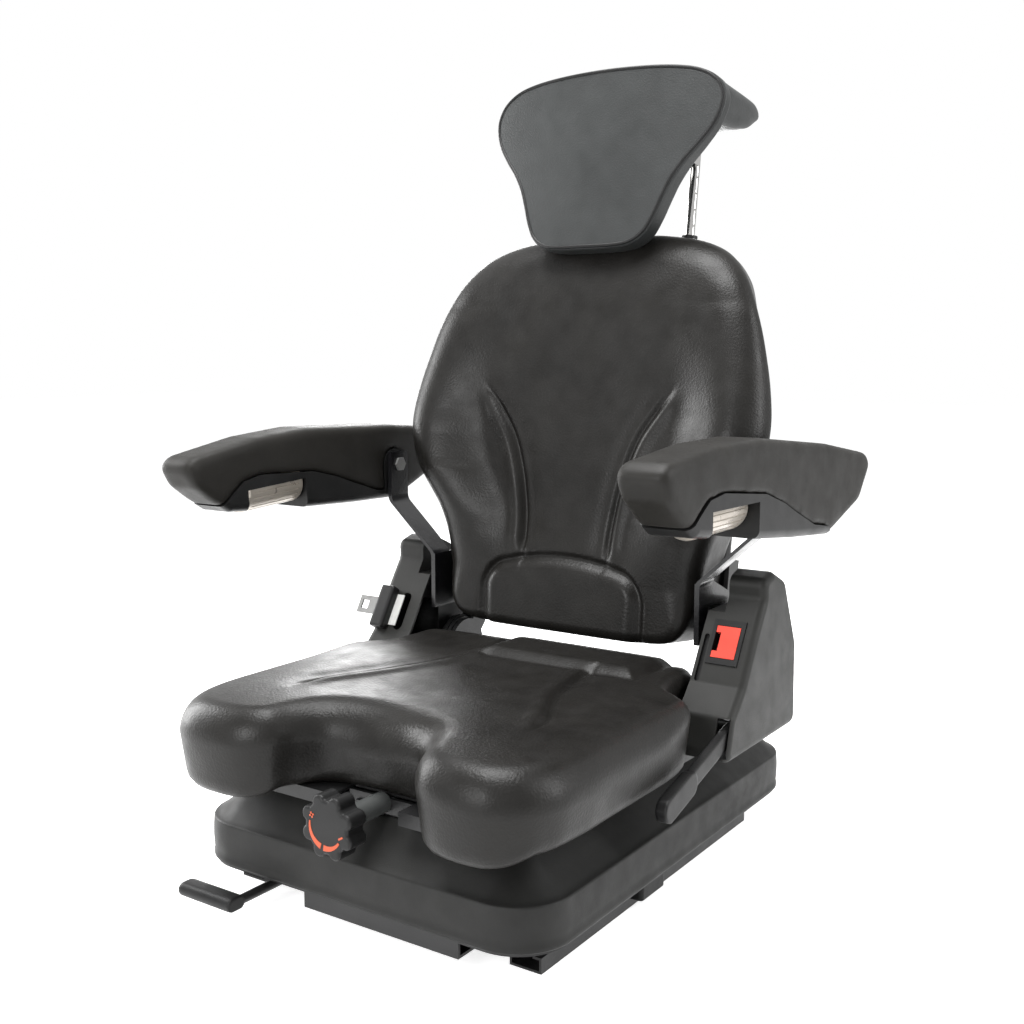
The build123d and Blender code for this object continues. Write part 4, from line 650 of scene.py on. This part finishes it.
def backrest_front(flat):
    x, up = flat[:, 0], flat[:, 1]
    side = np.array([point for point in BACK_HALF if point[0] > BACK_SIDE_FROM])
    to_edge = np.interp(up, side[:, 1], side[:, 0]) - np.abs(x)
    hollow = BACK_HOLLOW * bell(x, BACK_HOLLOW_WIDTH) * step(*BACK_HOLLOW_LOW, up)
    out = BACK_FRONT - hollow * (1 - step(*BACK_HOLLOW_HIGH, up))
    bolster = 1 - step(BOLSTER_ROLL, BOLSTER_ROLL + BOLSTER_SLOPE, to_edge)
    out += along_table(BOLSTER_RISE, up) * bolster
    out -= BACK_FALL * step(*BACK_FALL_UP, up) ** BACK_FALL_POWER
    path = line(BACK_CHANNEL, BACK_CHANNEL_POINTS)
    for half in (flat, flat * (-1, 1)):
        out += channel(half, path, BACK_CHANNEL_DEPTH, BACK_SHOULDER)
    arch = LUMBAR_TOP - LUMBAR_ARCH * x ** 2
    corner = np.stack([np.abs(x) - (LUMBAR_HALF - LUMBAR_CORNER), up - (arch - LUMBAR_CORNER)], 1)
    beyond = np.linalg.norm(np.maximum(corner, 0), axis=1)
    inside = LUMBAR_CORNER - beyond - np.minimum(np.maximum(corner[:, 0], corner[:, 1]), 0)
    out += panel(inside, LUMBAR_RISE, LUMBAR_EDGE, LUMBAR_CREASE)
    return out


def backrest_rear(flat):
    return np.full(len(flat), float(BACK_REAR))


def make_backrest():
    outline = loop(mirrored(BACK_HALF), BACK_POINTS)
    up = outline[:, 1]
    grown = step(*BACK_ROLL_GROWS, up)
    roll_in = BACK_ROLL + (BOLSTER_ROLL - BACK_ROLL) * grown
    roll_deep = BACK_ROLL + BACK_ROLL_DEEPER * grown + BOLSTER_ROLL_SHARE * along_table(BOLSTER_RISE, up)
    points, faces = moulded_pad(outline, BACK_CENTRE, backrest_front, backrest_rear, (roll_in, roll_deep),
                                BACK_LIP, on_back, BACK_RINGS, draft=along_table(BACK_TAPER, up))
    pad = piece("backrest_pad", points, faces, "vinyl_back", "backrest")
    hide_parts("backrest_cushion")


# Headrest

def head_front(flat):
    return HEAD_FRONT - (flat[:, 1] - HEAD_LOW) * HEAD_SLOPE - HEAD_SAG * flat[:, 0] ** 2


def head_back(flat):
    return HEAD_FRONT - HEAD_THICK - (flat[:, 1] - HEAD_LOW) * HEAD_SLOPE


def make_headrest():
    outline = loop(mirrored(HEAD_HALF), HEAD_POINTS)
    centre = np.array([0.0, float(HEAD_CENTRE_UP)])
    points, faces = moulded_pad(outline, centre, head_front, head_back, HEAD_ROLL, HEAD_LIP, on_back,
                                HEAD_RINGS)
    pad = piece("headrest_pad", points, faces, "vinyl_head", "headrest")
    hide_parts("headrest_cushion")
    spoke = outline - centre
    rim = centre + spoke * (1 - PIPING_IN / np.linalg.norm(spoke, axis=1))[:, None]
    points, faces = closed_tube(on_back(rim, head_front(rim) - PIPING_SUNK), PIPING_R)
    piece("headrest_piping", points, faces, "black_plastic", "headrest")


def make_flap():
    """Gathered hood, as rings of its side view from one end to the other."""
    ring = loop(FLAP_LOOP, FLAP_POINTS)
    middle = ring.mean(0)
    spoke = ring - middle
    gathered = step(*GATHER_REACH, ring[:, 0])
    rings = []
    for turn in np.linspace(-math.pi / 2, math.pi / 2, FLAP_RINGS):
        x = FLAP_HALF * math.sin(turn) * (1 + FLAP_CROWDING - FLAP_CROWDING * math.sin(turn) ** 2)
        end = max(abs(x) - FLAP_CLOSES, 0) / (FLAP_HALF - FLAP_CLOSES)
        size = FLAP_END_SIZE + (1 - FLAP_END_SIZE) * math.sqrt(max(1 - end ** 2, 0))
        size -= FLAP_SEAM_DEPTH * bell(abs(x) - FLAP_SEAM, FLAP_SEAM_WIDTH)
        ripple = GATHER_HEIGHT * math.sin(x * GATHER_PITCH + GATHER_SWAY * math.sin(x * GATHER_SWAY_PITCH))
        flat = middle + spoke * size
        flat[:, 1] += ripple * gathered * np.sign(spoke[:, 1]) * size
        rings.append(on_back(np.column_stack([np.full(len(flat), x), flat[:, 1]]), flat[:, 0]))
    points, faces = joined_rings(rings)
    flap = piece("headrest_flap_cover", points, faces, "vinyl_head", "headrest")
    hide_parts("headrest_flap")


# Seat cushion

def seat_top(flat):
    x, y = flat[:, 0], flat[:, 1]
    high = SEAT_TOP - SEAT_CROWN * np.maximum(np.abs(x) - SEAT_CROWN_FROM, 0) ** 2
    high -= SEAT_FRONT_FALL * np.maximum(SEAT_FRONT_FROM - y, 0) ** 2
    dish = SEAT_DISH * bell(x - SEAT_DISH_X, SEAT_DISH_WIDTH) * step(*SEAT_DISH_FRONT, y)
    high -= dish * (1 - step(*SEAT_DISH_REAR, y))
    left = line(SEAT_CHANNEL_LEFT, SEAT_CHANNEL_POINTS)
    right = line([(-across, along) for across, along in SEAT_CHANNEL_RIGHT], SEAT_CHANNEL_POINTS)
    high += channel(flat, left, SEAT_CHANNEL_DEPTH, SEAT_SHOULDER)
    high += channel(flat * (-1, 1), right, SEAT_CHANNEL_DEPTH, SEAT_SHOULDER)
    pad_half = (REAR_PAD_X[1] - REAR_PAD_X[0]) / 2
    pad_off = np.abs(x - (REAR_PAD_X[0] + REAR_PAD_X[1]) / 2) - pad_half
    inside = np.minimum(-pad_off, y - REAR_PAD_FRONT)
    high += panel(inside, REAR_PAD_RISE, REAR_PAD_EDGE, REAR_PAD_CREASE)
    high -= SEAT_TAIL_FALL * step(*SEAT_TAIL_Y, y)
    return high


def seat_base(flat):
    return SEAT_BASE - LOBE_DROP * (1 - step(*LOBE_DROP_Y, flat[:, 1]))


def behind_lobes(edge):
    """Loop behind the front lobes, so that no ring crosses the recess between them."""
    x, y = edge[:, 0], edge[:, 1]
    ahead = np.maximum(SEAT_BEHIND - y, 0)
    lobe = np.where(x > LOBE_BETWEEN, LOBES[0], LOBES[1])
    return np.stack([x + LOBE_PULL * ahead * (lobe - x), np.maximum(y, SEAT_BEHIND) - LOBE_LEAD * ahead], 1)


def make_seat():
    outline = loop(SEAT_OUTLINE, SEAT_POINTS)
    x, y = outline[:, 0], outline[:, 1]
    front = 1 - step(*SEAT_ROLL_FRONT, y)
    recess = bell(x - LOBE_BETWEEN, RECESS_WIDTH) * step(*RECESS_FRONT, y) * (1 - step(*RECESS_REAR, y))

    def roll(plain, at_front, in_recess):
        return plain + at_front * front + in_recess * recess

    points, faces = moulded_pad(outline, SEAT_CENTRE, seat_top, seat_base,
                                (roll(*SEAT_ROLL_IN), roll(*SEAT_ROLL_DEEP)), SEAT_LIP, on_floor,
                                SEAT_RINGS, draft=SEAT_DRAFT, via=behind_lobes)
    pad = piece("seat_pad", points, faces, "vinyl_back", "seat_frame")
    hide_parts("seat_cushion")


# Forms with soft edges, made from their CAD nodes

def skin(name, node_name, body, voxel, rounds):
    """Evenly meshed and smoothed copy of a CAD node, which stands for it."""
    source = nodes[node_name]
    slot = source.data.materials[0].name.removeprefix("finish_")
    made = bpy.data.objects.new(name, source.data.copy())
    scene.collection.objects.link(made)
    remesh = made.modifiers.new("even", "REMESH")
    remesh.mode = "VOXEL"
    remesh.voxel_size = voxel * MM
    smooth = made.modifiers.new("soften", "SMOOTH")
    smooth.factor = 0.5
    smooth.iterations = rounds
    final = bpy.data.meshes.new_from_object(made.evaluated_get(bpy.context.evaluated_depsgraph_get()))
    made.modifiers.clear()
    made.data = final
    final.materials.clear()
    final.materials.append(finish(slot))
    final.shade_smooth()
    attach(made, body)
    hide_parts(node_name)
    return made


def make_shell():
    """Rear shell with its sides drawn in towards the rear."""
    mesh = nodes["backrest_shell"].data.copy()
    shell = bpy.data.objects.new("backrest_shell_skin", mesh)
    scene.collection.objects.link(shell)
    for vertex in mesh.vertices:
        x, y, z = (value / MM for value in vertex.co)
        out = (HINGE_Y - y) * math.cos(BACK_LEAN) + (z - HINGE_Z) * math.sin(BACK_LEAN)
        deep = min(max((SHELL_FRONT - out) / SHELL_DEEP, 0), 1)
        beyond = max(abs(x) - SHELL_KEPT, 0)
        vertex.co.x = math.copysign(abs(x) - beyond * SHELL_DRAW * deep, x) * MM
    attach(shell, "backrest")
    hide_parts("backrest_shell")


def make_skins():
    for side in ("left", "right"):
        arm = skin("armrest_skin_" + side, "armrest_pad_" + side, "armrest_" + side, *ARM_SKIN)
    for row in SKINS:
        skin(*row)


def make_slot_shade_backing():
    """Dark backing behind the guide slot of the left cover: it closes the cover, and its dark colour is
    painted shade for the inside of the slot.
    """
    rise = np.array([0, math.sin(SLOPE_TURN), math.cos(SLOPE_TURN)])
    out = np.array([0, -math.cos(SLOPE_TURN), math.sin(SLOPE_TURN)])
    middle = np.array([GUIDE_SLOT_X, *SLOPE_MIDDLE])
    half = np.array([SHADE_BACKING_HALF_WIDTH, 0, 0])
    tall = rise * SHADE_BACKING_HALF_HEIGHT
    rings = []
    for depth in SHADE_BACKING_DEPTHS:
        back = middle + out * depth
        rings.append(np.array([back - half - tall, back + half - tall,
                               back + half + tall, back - half + tall]))
    # The black plastic on this backing is painted shade: it stands for the dark inside of the slot.
    shade_backing = piece("guide_slot_shade_backing", *joined_rings(rings), "black_plastic", "seat_frame")
    shade_backing.data.shade_flat()


# Boot

def boot_ring(inset):
    """Rounded rectangle with the same share of points on each side and corner."""
    radius = BOOT_CORNER - inset
    x = BOOT_HALF - inset - radius
    front, rear = BOOT_FRONT + inset + radius, BOOT_REAR - inset - radius
    arcs = []
    for middle_x, middle_y, start in ((x, front, -90), (x, rear, 0), (-x, rear, 90), (-x, front, 180)):
        turn = np.radians(start + np.linspace(0, 90, BOOT_CORNER_POINTS))
        arcs.append(np.stack([middle_x + radius * np.cos(turn), middle_y + radius * np.sin(turn)], 1))
    ring = []
    for arc, following in zip(arcs, arcs[1:] + arcs[:1]):
        t = np.linspace(0, 1, BOOT_SIDE_POINTS)[1:-1, None]
        ring += [arc, arc[-1] + (following[0] - arc[-1]) * t]
    return np.vstack(ring)


def boot_profile():
    """Inset and height from the lower lip, up the wall, over the crease and up the sloping roof."""
    profile = [(inset, BOOT_LOW + rise) for inset, rise in BOOT_LIP]
    wall_low = BOOT_LOW + BOOT_LIP_TOP
    wall_high = BOOT_CREASE - BOOT_CREASE_R
    for t in BOOT_WALL_STEPS:
        bulge = BOOT_BULGE - BOOT_BULGE * math.sin(math.pi * t)
        profile.append((bulge, wall_low + (wall_high - wall_low) * t))
    for turn in BOOT_CREASE_TURNS:
        inset = BOOT_BULGE + BOOT_CREASE_R * (1 - math.cos(turn)) * BOOT_CREASE_SPREAD
        profile.append((inset, wall_high + BOOT_CREASE_R * math.sin(turn)))
    for t in BOOT_ROOF_STEPS:
        height = BOOT_CREASE + (BOOT_TOP - BOOT_CREASE) * t - BOOT_ROOF_SAG * math.sin(math.pi * t)
        profile.append((BOOT_ROOF_IN + (BOOT_INSET - BOOT_ROOF_IN) * t, height))
    return profile


def make_boot():
    outer = boot_profile()
    inner = [(inset + BOOT_WALL, z) for inset, z in reversed(outer)]
    rings = []
    for inset, z in outer + inner:
        ring = boot_ring(inset)
        rings.append(np.column_stack([ring, np.full(len(ring), z)]))
    points, faces = joined_rings(rings + rings[:1], closed_ends=False)
    total = len(rings) * len(rings[0])
    faces = [tuple(corner % total for corner in face) for face in faces]
    boot = piece("boot_skin", points[:total], faces, "boot_rubber", None)
    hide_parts("suspension_boot")
    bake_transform(boot)


# Knob marks

def knob_mark(name, rings):
    """Flat mark on the knob's face, printed in orange."""
    mark = piece(name, *joined_rings(rings), "orange_ink", "weight_adjuster")
    mark.data.shade_flat()


def on_circle(degrees, radius):
    turn = math.radians(degrees)
    return np.array([math.cos(turn), math.sin(turn)]) * radius


def on_knob(flat, y):
    return KNOB_X + flat[0], y, KNOB_Z + flat[1]


def knob_arc(name, angles, widths):
    """Tapered arc, as rings from one end to the other."""
    rings = []
    for t in np.linspace(0, 1, ARC_POINTS):
        angle = angles[0] + (angles[1] - angles[0]) * t
        half = (widths[0] + (widths[1] - widths[0]) * t) / 2
        low, high = on_circle(angle, MARK_RADIUS - half), on_circle(angle, MARK_RADIUS + half)
        rings.append(np.array([on_knob(low, MARK_REAR), on_knob(high, MARK_REAR),
                               on_knob(high, MARK_FRONT), on_knob(low, MARK_FRONT)]))
    knob_mark(name, rings)


def knob_stroke(name, angle, turned):
    """Short straight stroke."""
    middle = on_circle(angle, MARK_RADIUS)
    along = on_circle(turned, MARK_LENGTH / 2)
    across = on_circle(turned + 90, MARK_WIDTH / 2)
    corners = (middle - along - across, middle + along - across,
               middle + along + across, middle - along + across)
    knob_mark(name, [np.array([on_knob(corner, y) for corner in corners]) for y in (MARK_REAR, MARK_FRONT)])


def make_knob_marks():
    for name, (angles, widths) in KNOB_ARCS.items():
        knob_arc(name, angles, widths)
    for name, (angle, turned) in KNOB_STROKES.items():
        knob_stroke(name, angle, turned)


# Stage

def make_stage():
    camera = bpy.data.objects.new("camera", bpy.data.cameras.new("camera"))
    scene.collection.objects.link(camera)
    camera.location = CAMERA_PLACE
    camera.rotation_euler = (math.radians(90 - CAMERA_DOWN), 0, math.radians(CAMERA_TURN))
    camera.data.lens = CAMERA_LENS
    camera.data.sensor_width = CAMERA_SENSOR
    scene.camera = camera
    scene.view_settings.view_transform = "Standard"


def pale(tree, lit, shown):
    """Mix of two shaders: lit for light, shown for what the camera, metal and glass see."""
    path = tree.nodes.new("ShaderNodeLightPath")
    seen = path.outputs["Is Camera Ray"]
    for name in ("Is Glossy Ray", "Is Transmission Ray"):
        most = tree.nodes.new("ShaderNodeMath")
        most.operation = "MAXIMUM"
        tree.links.new(seen, most.inputs[0])
        tree.links.new(path.outputs[name], most.inputs[1])
        seen = most.outputs[0]
    mix = tree.nodes.new("ShaderNodeMixShader")
    tree.links.new(seen, mix.inputs[0])
    tree.links.new(lit.outputs[0], mix.inputs[1])
    tree.links.new(shown.outputs[0], mix.inputs[2])
    return mix


def make_floor():
    mesh = bpy.data.meshes.new("floor")
    corners = [(x * FLOOR_HALF, y * FLOOR_HALF, 0) for x, y in ((-1, -1), (1, -1), (1, 1), (-1, 1))]
    mesh.from_pydata(corners, [], [(0, 1, 2, 3)])
    floor = bpy.data.objects.new("floor", mesh)
    scene.collection.objects.link(floor)
    material = bpy.data.materials.new("floor_white")
    material.use_nodes = True
    tree = material.node_tree
    tree.nodes.remove(tree.nodes["Principled BSDF"])
    lit = node(tree, "ShaderNodeBsdfDiffuse", Color=(FLOOR_GREY, FLOOR_GREY, FLOOR_GREY, 1))
    glow = node(tree, "ShaderNodeEmission", Strength=FLOOR_GLOW)
    both = tree.nodes.new("ShaderNodeAddShader")
    tree.links.new(lit.outputs[0], both.inputs[0])
    tree.links.new(glow.outputs[0], both.inputs[1])
    mix = pale(tree, lit, both)
    tree.links.new(mix.outputs[0], tree.nodes["Material Output"].inputs["Surface"])
    mesh.materials.append(material)


def make_world():
    world = bpy.data.worlds.new("studio")
    scene.world = world
    world.use_nodes = True
    tree = world.node_tree
    lit = tree.nodes["Background"]
    lit.inputs["Color"].default_value = (1, 1, 1, 1)
    lit.inputs["Strength"].default_value = WORLD_LIGHT
    shown = node(tree, "ShaderNodeBackground", Color=(1, 1, 1, 1), Strength=1.0)
    mix = pale(tree, lit, shown)
    tree.links.new(mix.outputs[0], tree.nodes["World Output"].inputs["Surface"])


def area_light(name, place, target, size, power):
    light = bpy.data.objects.new(name, bpy.data.lights.new(name, "AREA"))
    scene.collection.objects.link(light)
    light.data.shape = "RECTANGLE"
    light.data.size, light.data.size_y = size
    light.data.energy = power
    light.location = place
    light.visible_camera = False
    aim = np.array(target) - np.array(place)
    flat = math.hypot(aim[0], aim[1])
    light.rotation_euler = (math.pi / 2 + math.atan2(aim[2], flat), 0, math.atan2(-aim[0], aim[1]))


def make_lights():
    for name, (place, target, size, power) in LIGHTS.items():
        area_light(name, place, target, size, power)


make_stage()
make_floor()
make_world()
make_lights()
dress_nodes()
make_backrest()
make_headrest()
make_flap()
make_seat()
make_shell()
make_skins()
make_slot_shade_backing()
make_boot()
make_knob_marks()
